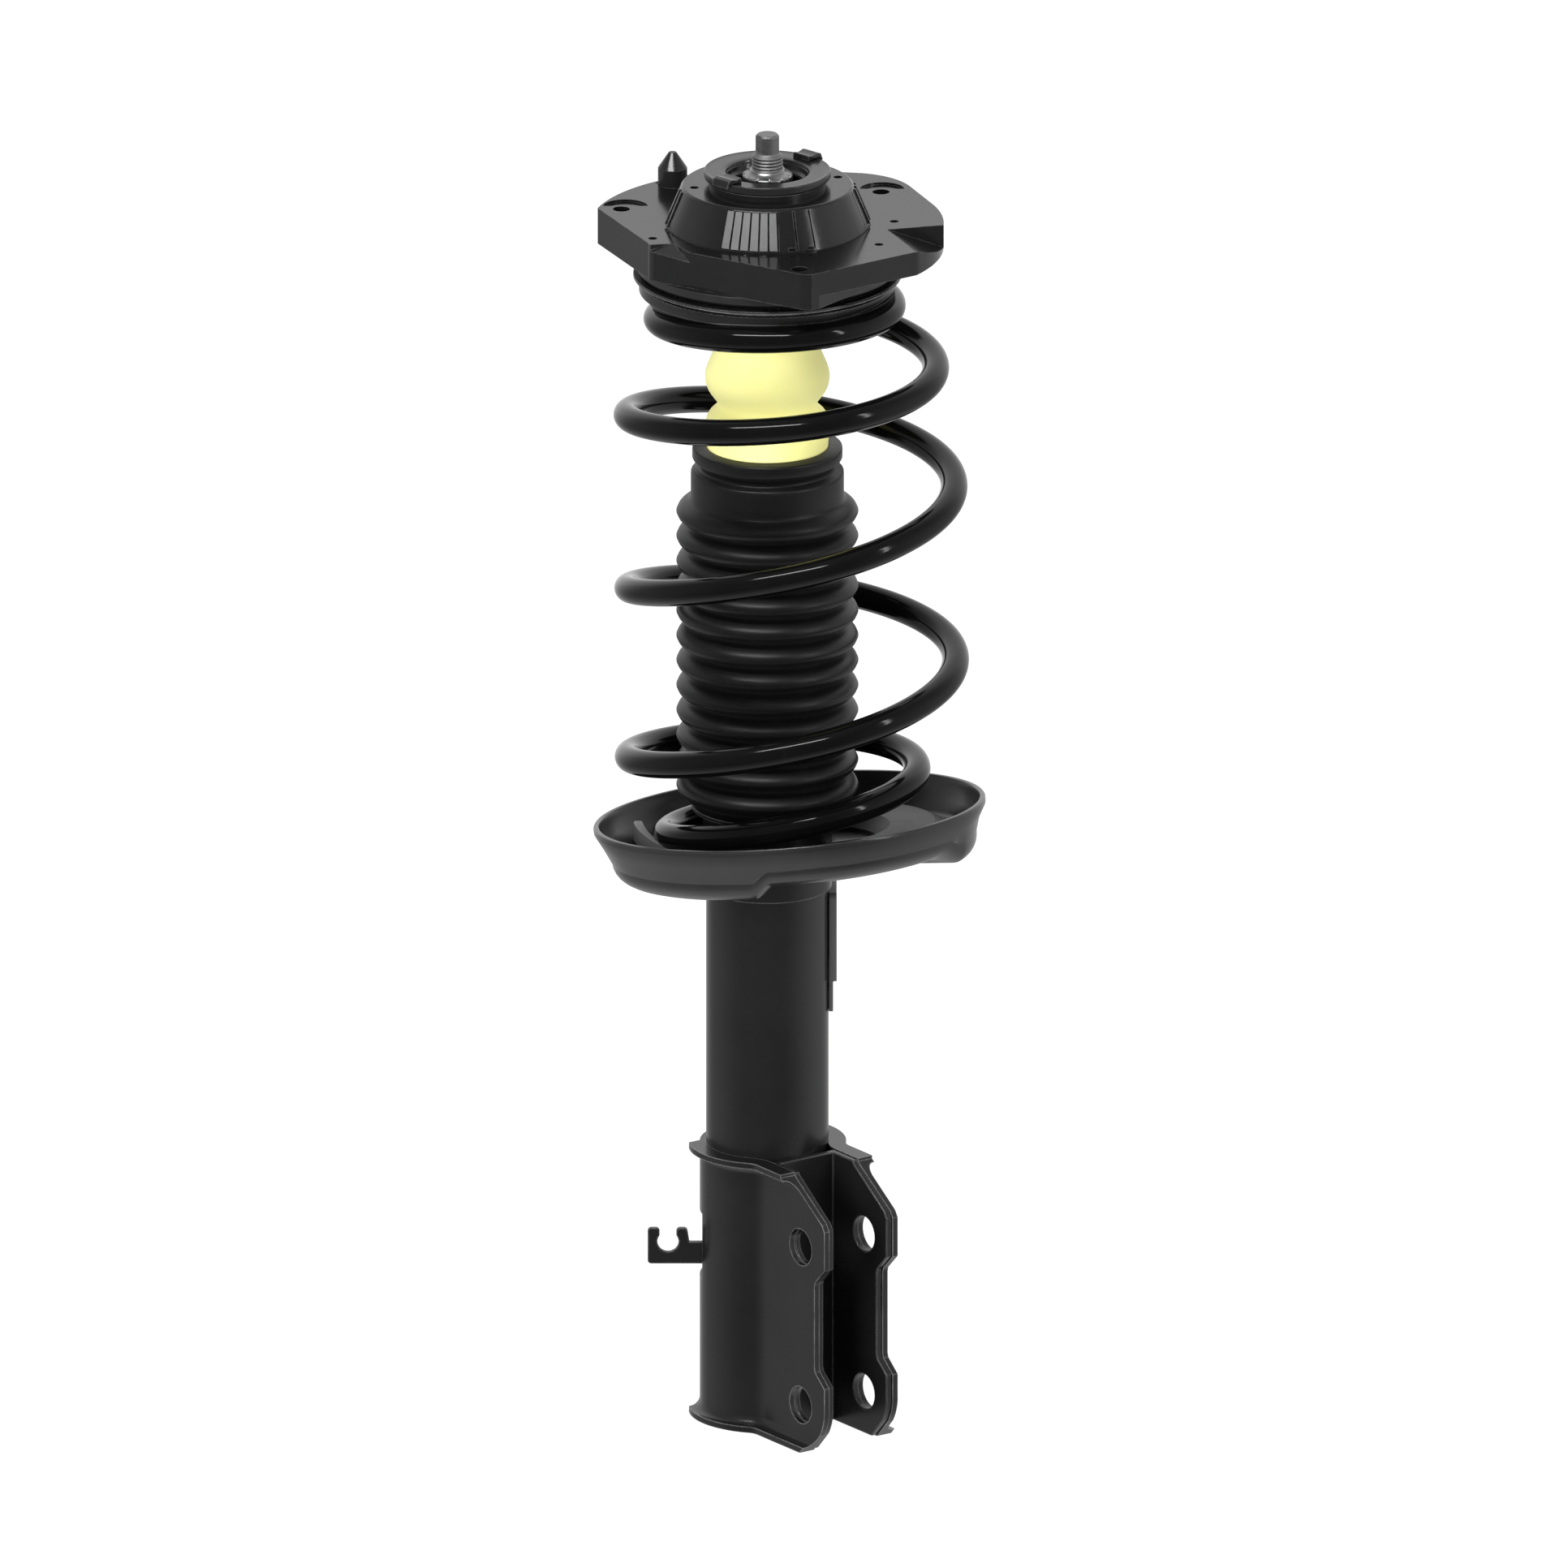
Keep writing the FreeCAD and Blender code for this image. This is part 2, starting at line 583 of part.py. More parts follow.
def piston_nut():
    """Hexagon nut that clamps the piston's stack."""
    body = new_body("piston_nut")
    sketch = new_sketch(body, "piston_nut_outline", "XY", lift="piston_top - piston_tall - 2")
    add_outline(sketch, [polar(10.4, 60 * corner) for corner in range(6)])
    add_circle(sketch, (0, 0), "tail_rad")
    extrude(body, "Pad", sketch, "piston_nut_pad", 8, reverse=True)
    return body


# ---- swivel bearing and upper seat ----

def upper_race():
    """Bearing ring fixed under the mount plate."""
    body = new_body("upper_race")
    inner = "ball_ring - ball_rad - free_gap"
    outer = "ball_ring + ball_rad + free_gap"
    revolve(body, "upper_race_turned", [
        ("race_in", "race_low"), (inner, "race_low"), (inner, "ball_mid + ball_rad + free_gap"),
        (outer, "ball_mid + ball_rad + free_gap"), (outer, "race_low"), ("race_out", "race_low"),
        ("race_out + 2", "race_low + 1.5"), ("race_out + 2", "-plate_thick"), ("race_in", "-plate_thick"),
    ])
    return body


def bearing_balls():
    """Ring of balls, one solid each."""
    group = DOC.addObject("Part::Compound", "bearing_balls")
    group.Label = "bearing_balls"
    count = int(value("ball_count"))
    balls = []
    for index in range(count):
        ball = DOC.addObject("Part::Sphere", "ball_%d" % index)
        ball.setExpression("Radius", bound("ball_rad"))
        angle = 360.0 / count * index
        ball.setExpression(".Placement.Base.x", bound("ball_ring * cos(%s)" % angle))
        ball.setExpression(".Placement.Base.y", bound("ball_ring * sin(%s)" % angle))
        ball.setExpression(".Placement.Base.z", bound("ball_mid"))
        balls.append(ball)
    group.Links = balls
    DOC.recompute()
    return group


def lower_race():
    """Bearing ring on the spring seat, with a channel that holds the balls."""
    return turned("lower_race", [
        ("race_in + 1", "seat_floor + 2.4"), ("race_out - 1", "seat_floor + 2.4"),
        ("race_out - 1", "lip_top - 0.4"),
        ("ball_ring + ball_rad + ball_room", "lip_top - 0.4"),
        ("ball_ring + ball_rad + ball_room", "ball_mid - ball_rad - ball_room"),
        ("ball_ring - ball_rad - ball_room", "ball_mid - ball_rad - ball_room"),
        ("ball_ring - ball_rad - ball_room", "lip_top - 0.4"), ("race_in + 1", "lip_top - 0.4"),
    ])


def upper_spring_seat(tool):
    """Pressed pan with a lip, a rim formed round the wire, and a hole for the bump stop's neck."""
    body = turned("upper_spring_pan", [
        ("seat_hole", "seat_floor"), ("seat_rad - 2.6", "seat_floor"), ("seat_rad - 2.6", "seat_low"),
        ("seat_rad", "seat_low"), ("seat_rad", "seat_floor + 1.6"), ("seat_rad - 1.4", "seat_floor + 2.2"),
        ("seat_rad - 1.4", "lip_low - 0.3"), ("lip_rad", "lip_low"), ("lip_rad", "lip_top - 0.4"),
        ("race_out - 1", "lip_top - 0.4"), ("race_out - 1", "seat_floor + 2.4"),
        ("seat_hole", "seat_floor + 2.4"),
    ])
    edges = [("seat_rad", "seat_low"), ("seat_rad", "seat_floor + 1.6"), ("lip_rad", "lip_top - 0.4")]
    round_circles(body, "seat_rounding", 0.7, edges)
    return cut_from("upper_spring_seat", body, tool)


# ---- coil spring ----

def blend_between(rows, turn, column):
    """Smooth value of one column of the coil's table, with a cubic between its rows."""
    last = len(rows) - 1
    spot = max(i for i in range(last) if rows[i][0] <= turn or i == 0)

    def slope(index):
        low = max(index - 1, 0)
        high = min(index + 1, last)
        return (rows[high][column] - rows[low][column]) / (rows[high][0] - rows[low][0])

    width = rows[spot + 1][0] - rows[spot][0]
    part = (turn - rows[spot][0]) / width
    start, stop = rows[spot][column], rows[spot + 1][column]
    return (
        (2 * part ** 3 - 3 * part ** 2 + 1) * start
        + (part ** 3 - 2 * part ** 2 + part) * width * slope(spot)
        + (3 * part ** 2 - 2 * part ** 3) * stop + (part ** 3 - part ** 2) * width * slope(spot + 1)
    )


def coil_wire(radius):
    """Round wire wound down from the upper seat to the dish, in both of which its ends are smaller."""
    first, last = COIL[0][0], COIL[-1][0]
    steps = 104
    points = []
    for step in range(steps + 1):
        turn = first + (last - first) * step / steps
        height, coil, shift = (blend_between(COIL, turn, column) for column in (1, 2, 3))
        angle = math.radians(value("coil_heading") - 360 * turn)
        lean = 2.0 + 1.1 * max(turn, 0)
        x = coil * math.cos(angle)
        y = coil * math.sin(angle)
        points.append(V(x, y - shift, height - lean * math.sin(angle)))
    curve = Part.BSplineCurve()
    curve.interpolate(points)
    path = Part.Wire(curve.toShape())
    start, tangent = curve.value(curve.FirstParameter), curve.tangent(curve.FirstParameter)[0]
    ring = Part.Wire(Part.Circle(start, tangent, radius).toShape())
    return path.makePipeShell([ring], True, True)


def coil_spring():
    spring = DOC.addObject("Part::Feature", "coil_spring")
    spring.Label = "coil_spring"
    spring.Shape = coil_wire(value("wire_rad"))
    spring.Placement = FreeCAD.Placement()
    return spring


def wire_clearance():
    """The wire with a little room round it, for cutting its bed in the rubber rings."""
    tool = DOC.addObject("Part::Feature", "wire_clearance")
    tool.Shape = coil_wire(value("wire_rad") + 0.35)
    tool.Placement = FreeCAD.Placement()
    return tool


def upper_isolator(tool):
    """Rubber ring between the seat and the top turn of the spring."""
    ring = turned("upper_isolator_ring", [
        (27, "seat_low - 4"), ("seat_rad - 4", "seat_low - 4"), ("seat_rad - 2.8", "seat_low - 1"),
        ("seat_rad - 2.8", "seat_floor"), (27, "seat_floor"),
    ])
    return cut_from("upper_isolator", ring, tool)


# ---- bump stop and bellows ----

def bump_stop():
    """Foam stop with two round lobes and a tight waist, hung from the upper seat by its neck."""
    return turned("bump_stop", [
        ("rod_rad + free_gap", "stop_low"), (21, "stop_low"), (26.4, "stop_low + 5"),
        (26.9, "boot_top + 1"),
        (27.3, -93.5), (23.4, -86, 8, -1), (23.4, -81.6, 3, 1), (27.5, -71.8, 12, -1), (26.6, -67, 6, -1),
        (23.2, -58.6), (20, -34), (20, "seat_floor"), ("seat_hole", "seat_floor"),
        ("seat_hole", "seat_floor + 2.4"), ("seat_hole + 1.5", "seat_floor + 2.4"),
        ("seat_hole", "seat_floor + 5"), ("rod_rad + free_gap", "seat_floor + 5"),
    ])


def dust_bellows():
    """Ridged boot from the bump stop down to the dish, with a collar at each end."""
    count = int(value("boot_count"))
    outside, inside = [], []
    for ridge in range(count):
        middle = "boot_first - %d * boot_pitch" % ridge
        outside.append(("boot_valley", middle + " + boot_half"))
        outside.append(("boot_valley", middle + " - boot_half", "boot_round", 1))
        inside.append(("boot_valley - boot_wall", middle + " + boot_inside", "boot_round - boot_wall", -1))
        inside.append(("boot_valley - boot_wall", middle + " - boot_inside"))
    top = [
        (27.2, "boot_top"), (32.2, "boot_top"), (33.3, "boot_top - 1.2"), (33.3, -108.6), (30.2, -111.6),
        (30.2, -113.6), (34, -114.6), (34, -125.5),
    ]
    low = [(34, "boot_low + 3"), (34, "boot_low"), (30.5, "boot_low"), (30.5, "boot_low + 2")]
    back = [(30.8, -121), (27.2, -118)]
    return turned("dust_bellows", top + outside + low + inside[::-1] + back)


# ---- damper tube ----

def outer_tube():
    """Plain outer tube of the damper."""
    return turned("outer_tube", [
        ("tube_rad - tube_wall", "tube_low"), ("tube_rad", "tube_low"), ("tube_rad", "tube_top"),
        ("tube_rad - tube_wall", "tube_top"),
    ])


def tube_cap():
    """Pressed cap over the tube's top, struck by the bump stop."""
    body = turned("tube_cap", [
        ("rod_rad + free_gap", "tube_top"), ("tube_rad", "tube_top"), ("tube_rad", "tube_top - 14"),
        ("tube_rad + 1.6", "tube_top - 14"), ("tube_rad + 1.6", "cap_top"),
        ("rod_rad + free_gap", "cap_top"),
    ])
    round_circles(body, "cap_rounding", 1.2, [("tube_rad + 1.6", "cap_top")])
    return body


def rod_seal():
    """Lip seal under the cap."""
    return turned("rod_seal", [
        ("rod_rad + running_gap", "tube_top - 5"), (20, "tube_top - 6"), (20, "tube_top"),
        ("rod_rad + 2", "tube_top"), ("rod_rad + running_gap", "tube_top - 2"),
    ])


def rod_guide():
    """Sintered guide that centres the rod and the pressure tube."""
    return turned("rod_guide", [
        ("rod_rad + running_gap", "inner_top - 6"), ("bore_rad", "inner_top - 6"),
        ("bore_rad", "inner_top"),
        ("inner_rad + 1", "inner_top"), ("tube_rad - tube_wall", "inner_top + 4"),
        ("tube_rad - tube_wall", "tube_top"),
        (20, "tube_top"), (20, "tube_top - 6"), ("rod_rad + running_gap", "tube_top - 6"),
    ])


def pressure_tube():
    return turned("pressure_tube", [
        ("bore_rad", "valve_top"), ("inner_rad", "valve_top"), ("inner_rad", "inner_top"),
        ("bore_rad", "inner_top"),
    ])


def foot_valve():
    """Valve body in the foot of the pressure tube, with drilled passages."""
    body = turned("foot_valve", [
        (0, "valve_low"), ("inner_rad + 1", "valve_low"), ("inner_rad + 1", "valve_top - 2"),
        ("inner_rad", "valve_top"), (0, "valve_top"),
    ])
    ports = new_sketch(body, "foot_port_outline", "XY", lift="valve_top")
    add_circle(ports, (10, 0), 1.5)
    port = extrude(body, "Pocket", ports, "foot_port", "valve_top - valve_low")
    ring_of(body, "foot_ports", port, 6)
    return body


def base_cap():
    """Pressed cap that closes the tube's foot."""
    return turned("base_cap", [
        (0, "tube_low + 3"), ("tube_rad - tube_wall - 4", "tube_low"), ("tube_rad - tube_wall", "tube_low"),
        ("tube_rad - tube_wall", "valve_low + 1"), ("inner_rad + 1", "valve_low"), (0, "valve_low"),
    ])


# ---- lower spring seat ----

def dish_profile(deep):
    """Section of the dish from its rim to its middle, at one floor depth."""
    depth = "-%s" % deep
    corner = "dish_rad - dish_corner"
    return [
        ("dish_rad - dish_wall", 0), ("dish_rad", 0), ("dish_rad", -3),
        ("dish_rad - dish_lean", depth + " + 9"),
        (corner, depth, 11, 1), (0, depth), (0, depth + " + dish_wall"), (corner, depth + " + dish_wall"),
        ("dish_rad - dish_lean - dish_wall", depth + " + 10", 8.5, -1), ("dish_rad - dish_wall", -4),
    ]


def tilt_with_dish(body):
    body.Placement = FreeCAD.Placement(
        V(0, -value("dish_shift"), value("dish_height")), FreeCAD.Rotation(V(1, 0, 0), -value("dish_tilt"))
    )


def passage(name, radius):
    """An upright cylinder along the rod, for cutting through what the tube passes."""
    cylinder = DOC.addObject("Part::Cylinder", name)
    cylinder.setExpression("Radius", bound(radius))
    cylinder.setExpression("Height", bound("tube_top - tube_low"))
    cylinder.setExpression(".Placement.Base.z", bound("tube_low"))
    DOC.recompute()
    return cylinder


def lower_spring_dish():
    """Deep tilted dish whose floor has a low part and a raised part, so that it follows the wire."""
    body = new_body("lower_spring_dish_pressing")
    step = value("dish_step")
    low_arc = value("dish_low_arc")
    overlap = 0.5
    corner = "dish_rad - dish_corner"
    revolve(body, "dish_low", dish_profile("dish_deep"), angle=low_arc + overlap, turn=step - low_arc)
    revolve(body, "dish_high", dish_profile("dish_shallow"), angle=360 - low_arc + overlap, turn=step)
    for name, turn in (("dish_riser", step), ("dish_ramp", step - low_arc)):
        sketch = new_sketch(body, name + "_outline", "XZ", turn=turn)
        add_outline(sketch, [
            (0, "-dish_deep"), (corner, "-dish_deep"),
            ("dish_rad - dish_lean - 0.3", "-dish_deep + 9", 11, -1),
            ("dish_rad - dish_lean - 1", "-dish_shallow + 8"), (corner, "-dish_shallow + dish_wall"),
            (0, "-dish_shallow + dish_wall"),
        ])
        extrude(body, "Pad", sketch, name, "dish_wall", midplane=True)
    tilt_with_dish(body)
    return cut_from("lower_spring_dish", body, passage("hub_passage", "tube_rad + hub_wall"))


def dish_hub():
    """Collar welded between the dish and the tube; the bellows stand on its flange."""
    return turned("dish_hub", [
        ("tube_rad", "hub_low"), ("tube_rad + hub_wall", "hub_low"),
        ("tube_rad + hub_wall", "boot_low - 3"),
        ("tube_rad + hub_flange", "boot_low - 2"), ("tube_rad + hub_flange", "boot_low"),
        ("tube_rad", "boot_low"),
    ])


def lower_isolator(tool):
    """Rubber pad in the dish under the last turn of the spring."""
    body = new_body("lower_isolator_ring")
    floor = "-dish_shallow + dish_wall"
    revolve(body, "isolator_turned", [
        ("pad_in", floor), ("pad_out", floor), ("pad_out", "-pad_top - 2"), ("pad_out - 4", "-pad_top"),
        ("pad_in + 6", "-pad_top"), ("pad_in", "-pad_top - 6"),
    ])
    ledge = 3
    revolve(body, "isolator_foot", [
        ("pad_in", "-dish_deep + dish_wall"), ("pad_out", "-dish_deep + dish_wall"), ("pad_out", floor),
        ("pad_in", floor),
    ], angle=value("dish_low_arc") - 2 * ledge, turn=value("dish_step - dish_low_arc") + ledge)
    tilt_with_dish(body)
    bedded = cut_from("lower_isolator_bed", body, tool)
    return cut_from("lower_isolator", bedded, passage("pad_passage", "tube_rad + hub_wall + 2"))


# ---- brackets ----

def link_bracket():
    """Welded lug for the stabilizer link, tangent to the tube."""
    body = new_body("link_bracket")
    plate = new_sketch(body, "link_plate_outline", "YZ", lift="tube_rad")
    add_outline(plate, [(-4, "link_low"), (44, "link_low"), (44, "link_top"), (-4, "link_top")])
    extrude(body, "Pad", plate, "link_plate", "link_thick")
    foot = new_sketch(body, "link_foot_outline", "YZ", lift="tube_rad")
    add_outline(foot, [(-4, "link_low - 14"), (6, "link_low - 14"), (6, "link_low + 1"),
    (-4, "link_low + 1")])
    extrude(body, "Pad", foot, "link_foot", 2)
    web = new_sketch(body, "link_web_outline", "XY", lift="link_top - 3")
    add_outline(web, [(19.5, 19), ("tube_rad + 1", 19), ("tube_rad + 1", 22.6), (16, 22.6)])
    extrude(body, "Pad", web, "link_web", "link_top - link_low - 6", reverse=True)
    hole = new_sketch(body, "link_hole_outline", "YZ", lift="tube_rad + link_thick")
    add_circle(hole, ("link_hole_out", "link_hole_height"), "link_hole")
    extrude(body, "Pocket", hole, "link_drill", "link_thick")
    out = value("tube_rad") + value("link_thick") / 2
    corners = [(out, y, value(z)) for y in (-4, 44) for z in ("link_low", "link_top")]
    round_upright(body, "link_rounding", 3, corners[1:])
    body.Placement = FreeCAD.Placement(V(0, 0, 0), FreeCAD.Rotation(UP, value("coil_heading")))
    return body


def hose_bracket():
    """Flat tab with an open round slot for the brake hose."""
    body = new_body("hose_bracket")
    sketch = new_sketch(body, "hose_outline", "XZ")
    mouth = 3.7
    drop = math.sqrt(value("hose_slot") ** 2 - mouth ** 2)
    slot_low = "hose_mid - hose_slot"
    add_outline(sketch, [
        ("tube_rad + 0.02", "hose_low"), ("hose_reach", "hose_low"), ("hose_reach", "hose_high"),
        ("hose_slot_out + %s" % mouth, "hose_high"), ("hose_slot_out + %s" % mouth, "hose_mid + %s" % drop),
        ("hose_slot_out", slot_low, "hose_slot", 1),
        ("hose_slot_out - %s" % mouth, "hose_mid + %s" % drop, "hose_slot", 1),
        ("hose_slot_out - %s" % mouth, "hose_high"), (35.6, "hose_high"), (34.6, "hose_mid"),
        ("tube_rad + 0.02", "hose_mid"),
    ])
    extrude(body, "Pad", sketch, "hose_tab", "hose_thick", midplane=True)
    places = [("hose_reach", "hose_low"), ("hose_reach", "hose_high"), ("hose_slot_out + 3.7", "hose_high"),
              ("hose_slot_out - 3.7", "hose_high"), (35.6, "hose_high")]
    round_upright(body, "hose_rounding", 1.6, [(value(x), 0, value(z)) for x, z in places])
    body.Placement = FreeCAD.Placement(V(0, 0, 0), FreeCAD.Rotation(UP, value("coil_heading") + 180))
    return body


def wrap_outline(outer, inner, tip):
    """Plan of a strip that runs from one ear, round the back of the tube, to the other ear."""
    bend = "(ear_out + ear_bend)"
    down = "sqrt((tube_rad + sheet_thick + ear_bend) ^ 2 - (ear_out + ear_bend) ^ 2)"
    reach = "(tube_rad + sheet_thick + ear_bend)"
    sides = []
    for ring, turn in ((outer, 1), (inner, -1)):
        ear = "ear_out + %s" % ring
        hug = "(tube_rad + sheet_thick + %s)" % ring
        near = (ear, "-" + down)
        swell = ("%s * %s / %s" % (bend, hug, reach), "-%s * %s / %s" % (down, hug, reach))
        sides.append((ear, near, swell, hug, "ear_bend - (%s)" % ring))
    ear_a, near_a, swell_a, hug_a, round_a = sides[0]
    ear_b, near_b, swell_b, hug_b, round_b = sides[1]

    def mirror(place):
        return ("-(%s)" % place[0], place[1])

    return [
        (ear_a, "-" + tip), near_a, swell_a + (round_a, 1), (hug_a, 0, hug_a, -1), (0, hug_a, hug_a, -1),
        ("-" + hug_a, 0, hug_a, -1), mirror(swell_a) + (hug_a, -1), mirror(near_a) + (round_a, 1),
        ("-(%s)" % ear_a, "-" + tip), ("-(%s)" % ear_b, "-" + tip), mirror(near_b),
        mirror(swell_b) + (round_b, -1), ("-" + hug_b, 0, hug_b, 1), (0, hug_b, hug_b, 1),
        (hug_b, 0, hug_b, 1),
        swell_b + (hug_b, 1), near_b + (round_b, -1), (ear_b, "-" + tip),
    ]


def trim_ears(body, name, tip, waist):
    """Cuts the side outline of the ears: sloping top, two lobes with a waist between, rounded foot."""
    sketch = new_sketch(body, name + "_outline", "YZ")
    above = "brk_top + 20"
    below = "brk_low - 20"
    add_outline(sketch, [
        (-45, above), (-45, "brk_top - 1.5"), ("-%s + 2" % tip, "brk_top - 18"),
        ("-" + tip, "brk_top - 21"),
        ("-" + tip, -466), ("-%s - 0.6" % waist, -473), ("-" + waist, -475), ("-" + waist, -513),
        ("-%s - 0.6" % waist, -515), ("-" + tip, -521), ("-" + tip, -533),
        ("-%s + 3.5" % tip, -543.5, 22, -1),
        ("-%s + 12" % tip, "brk_low"), ("-%s + 12" % tip, below), (-100, below), (-100, above),
    ])
    extrude(body, "Pocket", sketch, name, 100, midplane=True)


def drill_ears(body, name, radius):
    sketch = new_sketch(body, name + "_outline", "YZ")
    for height in ("knuckle_high", "knuckle_high - knuckle_space"):
        add_circle(sketch, ("-knuckle_in", height), radius)
    extrude(body, "Pocket", sketch, name, 100, midplane=True)


def knuckle_bracket():
    """Outer layer: one sheet wrapped round the tube, with flared edges and two ears."""
    body = new_body("knuckle_bracket")
    wall = new_sketch(body, "wrap_plan", "XY", lift="brk_top")
    add_outline(wall, wrap_outline("0", "-sheet_thick", "(ear_tip + 5)"))
    extrude(body, "Pad", wall, "wrap_wall", "brk_top - brk_low", reverse=True)
    for name, lift, reverse in (("top_flare", "brk_top", True), ("foot_flare", "brk_low", False)):
        flare = new_sketch(body, name + "_plan", "XY", lift=lift)
        add_outline(flare, wrap_outline("flare_out", "-sheet_thick", "(ear_tip + 5)"))
        extrude(body, "Pad", flare, name, "sheet_thick", reverse=reverse)
    round_flares(body)
    trim_back(body)
    trim_ears(body, "ear_trim", "ear_tip", "ear_waist")
    drill_ears(body, "ear_holes", "knuckle_hole")
    window = new_sketch(body, "window_outline", "XZ", turn=value("coil_heading") + 180)
    add_outline(window, [(20, -489), (40, -489), (40, -459), (20, -459)])
    extrude(body, "Pocket", window, "hose_window", 16, midplane=True)
    return body


def trim_back(body):
    """Takes the flares off the back of the wrap."""
    sketch = new_sketch(body, "back_trim_outline", "XY", lift="brk_top + 1")
    wrap = "(tube_rad + sheet_thick)"
    side = "sqrt(%s ^ 2 - flare_back ^ 2)" % wrap
    add_outline(sketch, [
        (60, "flare_back"), (side, "flare_back"), (0, wrap, wrap, -1), ("-" + side, "flare_back", wrap, -1),
        (-60, "flare_back"), (-60, 60), (60, 60),
    ])
    return extrude(body, "Pocket", sketch, "back_trim", "brk_top - brk_low + 2")


def round_flares(body):
    """Rounds the inner corner between the wall and both flared edges."""
    base = body.Tip
    heights = (value("brk_top - sheet_thick"), value("brk_low + sheet_thick"))
    hugging = value("tube_rad + sheet_thick") + 1.3
    edges = []
    for index, edge in enumerate(base.Shape.Edges, 1):
        box = edge.BoundBox
        if box.ZLength > 0.01 or not any(abs(box.ZMin - height) < 0.01 for height in heights):
            continue
        middle = edge.valueAt((edge.FirstParameter + edge.LastParameter) / 2)
        if math.hypot(middle.x, middle.y) < hugging or abs(abs(middle.x) - value("ear_out")) < 0.2:
            edges.append("Edge%d" % index)
    fillet = body.newObject("PartDesign::Fillet", "flare_bend")
    fillet.Base = (base, edges)
    fillet.setExpression("Radius", bound("flare_round"))
    DOC.recompute()
    return fillet


def bracket_liner():
    """Inner layer: a channel between the ears, with its web against the front of the tube."""
    body = new_body("bracket_liner")
    plan = new_sketch(body, "liner_plan", "XY", lift="brk_top - 0.5")
    outer = "ear_out - sheet_thick"
    inner = "ear_out - 2 * sheet_thick"
    add_outline(plan, [
        (outer, "-(ear_tip + 5)"), (outer, "-(tube_rad)"), ("-(%s)" % outer, "-(tube_rad)"),
        ("-(%s)" % outer, "-(ear_tip + 5)"), ("-(%s)" % inner, "-(ear_tip + 5)"),
        ("-(%s)" % inner, "-(tube_rad + sheet_thick)"), (inner, "-(tube_rad + sheet_thick)"),
        (inner, "-(ear_tip + 5)"),
    ])
    extrude(body, "Pad", plan, "liner_pad", "brk_top - brk_low - 1", reverse=True)
    trim_ears(body, "liner_trim", "(ear_tip - 0.8)", "(ear_waist - 0.8)")
    drill_ears(body, "liner_holes", "knuckle_hole - 0.4")
    return body


# ---- build, check and write ----

def check(pieces):
    """Stops the build when a feature has failed or a piece isn't a sound solid."""
    for item in DOC.Objects:
        if "Invalid" in item.State or "Error" in item.State:
            raise ValueError("%s is %s" % (item.Name, item.State))
    for piece in pieces:
        shape = piece.Shape
        if shape.isNull() or not shape.isValid() or not shape.Solids:
            raise ValueError(piece.Label + " is not a sound solid")


def main():
    fill_sheet()
    tool = wire_clearance()
    pieces = [
        mount_plate(), locator_pin(), cone_cover(), outer_sleeve(), bush_rubber(), inner_core(),
        rod_washer(),
        top_washer(), top_nut(), rebound_disc(), rim_clips(), piston_rod(), rebound_stop(), piston(),
        piston_ring(), rebound_shims(), compression_shims(), piston_nut(), upper_race(), bearing_balls(),
        lower_race(), upper_spring_seat(tool), upper_isolator(tool), bump_stop(), coil_spring(),
        dust_bellows(),
        outer_tube(), tube_cap(), rod_seal(), rod_guide(), pressure_tube(), foot_valve(), base_cap(),
        lower_spring_dish(), dish_hub(), lower_isolator(tool), link_bracket(), hose_bracket(),
        knuckle_bracket(), bracket_liner(),
    ]
    DOC.recompute()
    check(pieces)
    os.makedirs("parts", exist_ok=True)
    for piece in pieces:
        piece.Shape.exportStep("parts/%s.step" % piece.Label)


main()
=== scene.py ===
"""Looks of the suspension strut: materials, detailed pieces, camera and light, in metres."""
import json
import math

import bmesh
import bpy
import numpy as np
from mathutils import Matrix, Vector


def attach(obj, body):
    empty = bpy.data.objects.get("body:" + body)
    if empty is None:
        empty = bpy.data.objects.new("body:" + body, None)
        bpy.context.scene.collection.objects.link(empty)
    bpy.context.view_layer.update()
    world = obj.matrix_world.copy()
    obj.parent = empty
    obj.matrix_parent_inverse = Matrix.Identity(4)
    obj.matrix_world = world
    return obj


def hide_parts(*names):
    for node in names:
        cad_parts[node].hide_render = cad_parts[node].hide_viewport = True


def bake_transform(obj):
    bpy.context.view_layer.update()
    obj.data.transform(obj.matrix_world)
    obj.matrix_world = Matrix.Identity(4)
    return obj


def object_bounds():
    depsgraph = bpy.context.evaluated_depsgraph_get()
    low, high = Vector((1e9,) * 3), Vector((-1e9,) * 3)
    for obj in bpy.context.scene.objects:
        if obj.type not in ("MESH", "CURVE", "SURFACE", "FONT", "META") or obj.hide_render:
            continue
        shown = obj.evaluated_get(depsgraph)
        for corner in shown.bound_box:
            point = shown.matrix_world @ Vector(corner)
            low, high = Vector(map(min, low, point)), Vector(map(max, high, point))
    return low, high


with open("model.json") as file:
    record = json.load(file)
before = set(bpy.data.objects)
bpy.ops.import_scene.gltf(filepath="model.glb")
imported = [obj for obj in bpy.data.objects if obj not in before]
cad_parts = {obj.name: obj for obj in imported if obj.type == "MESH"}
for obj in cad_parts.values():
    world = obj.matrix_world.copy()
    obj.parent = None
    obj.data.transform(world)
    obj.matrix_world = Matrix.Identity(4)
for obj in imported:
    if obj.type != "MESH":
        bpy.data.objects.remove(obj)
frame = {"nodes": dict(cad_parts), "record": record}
NODES = frame["nodes"]
CAD_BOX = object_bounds()
# a millimetre; outlines and sizes of pieces are given in millimetres
MM = 0.001


# ---- material helpers ----

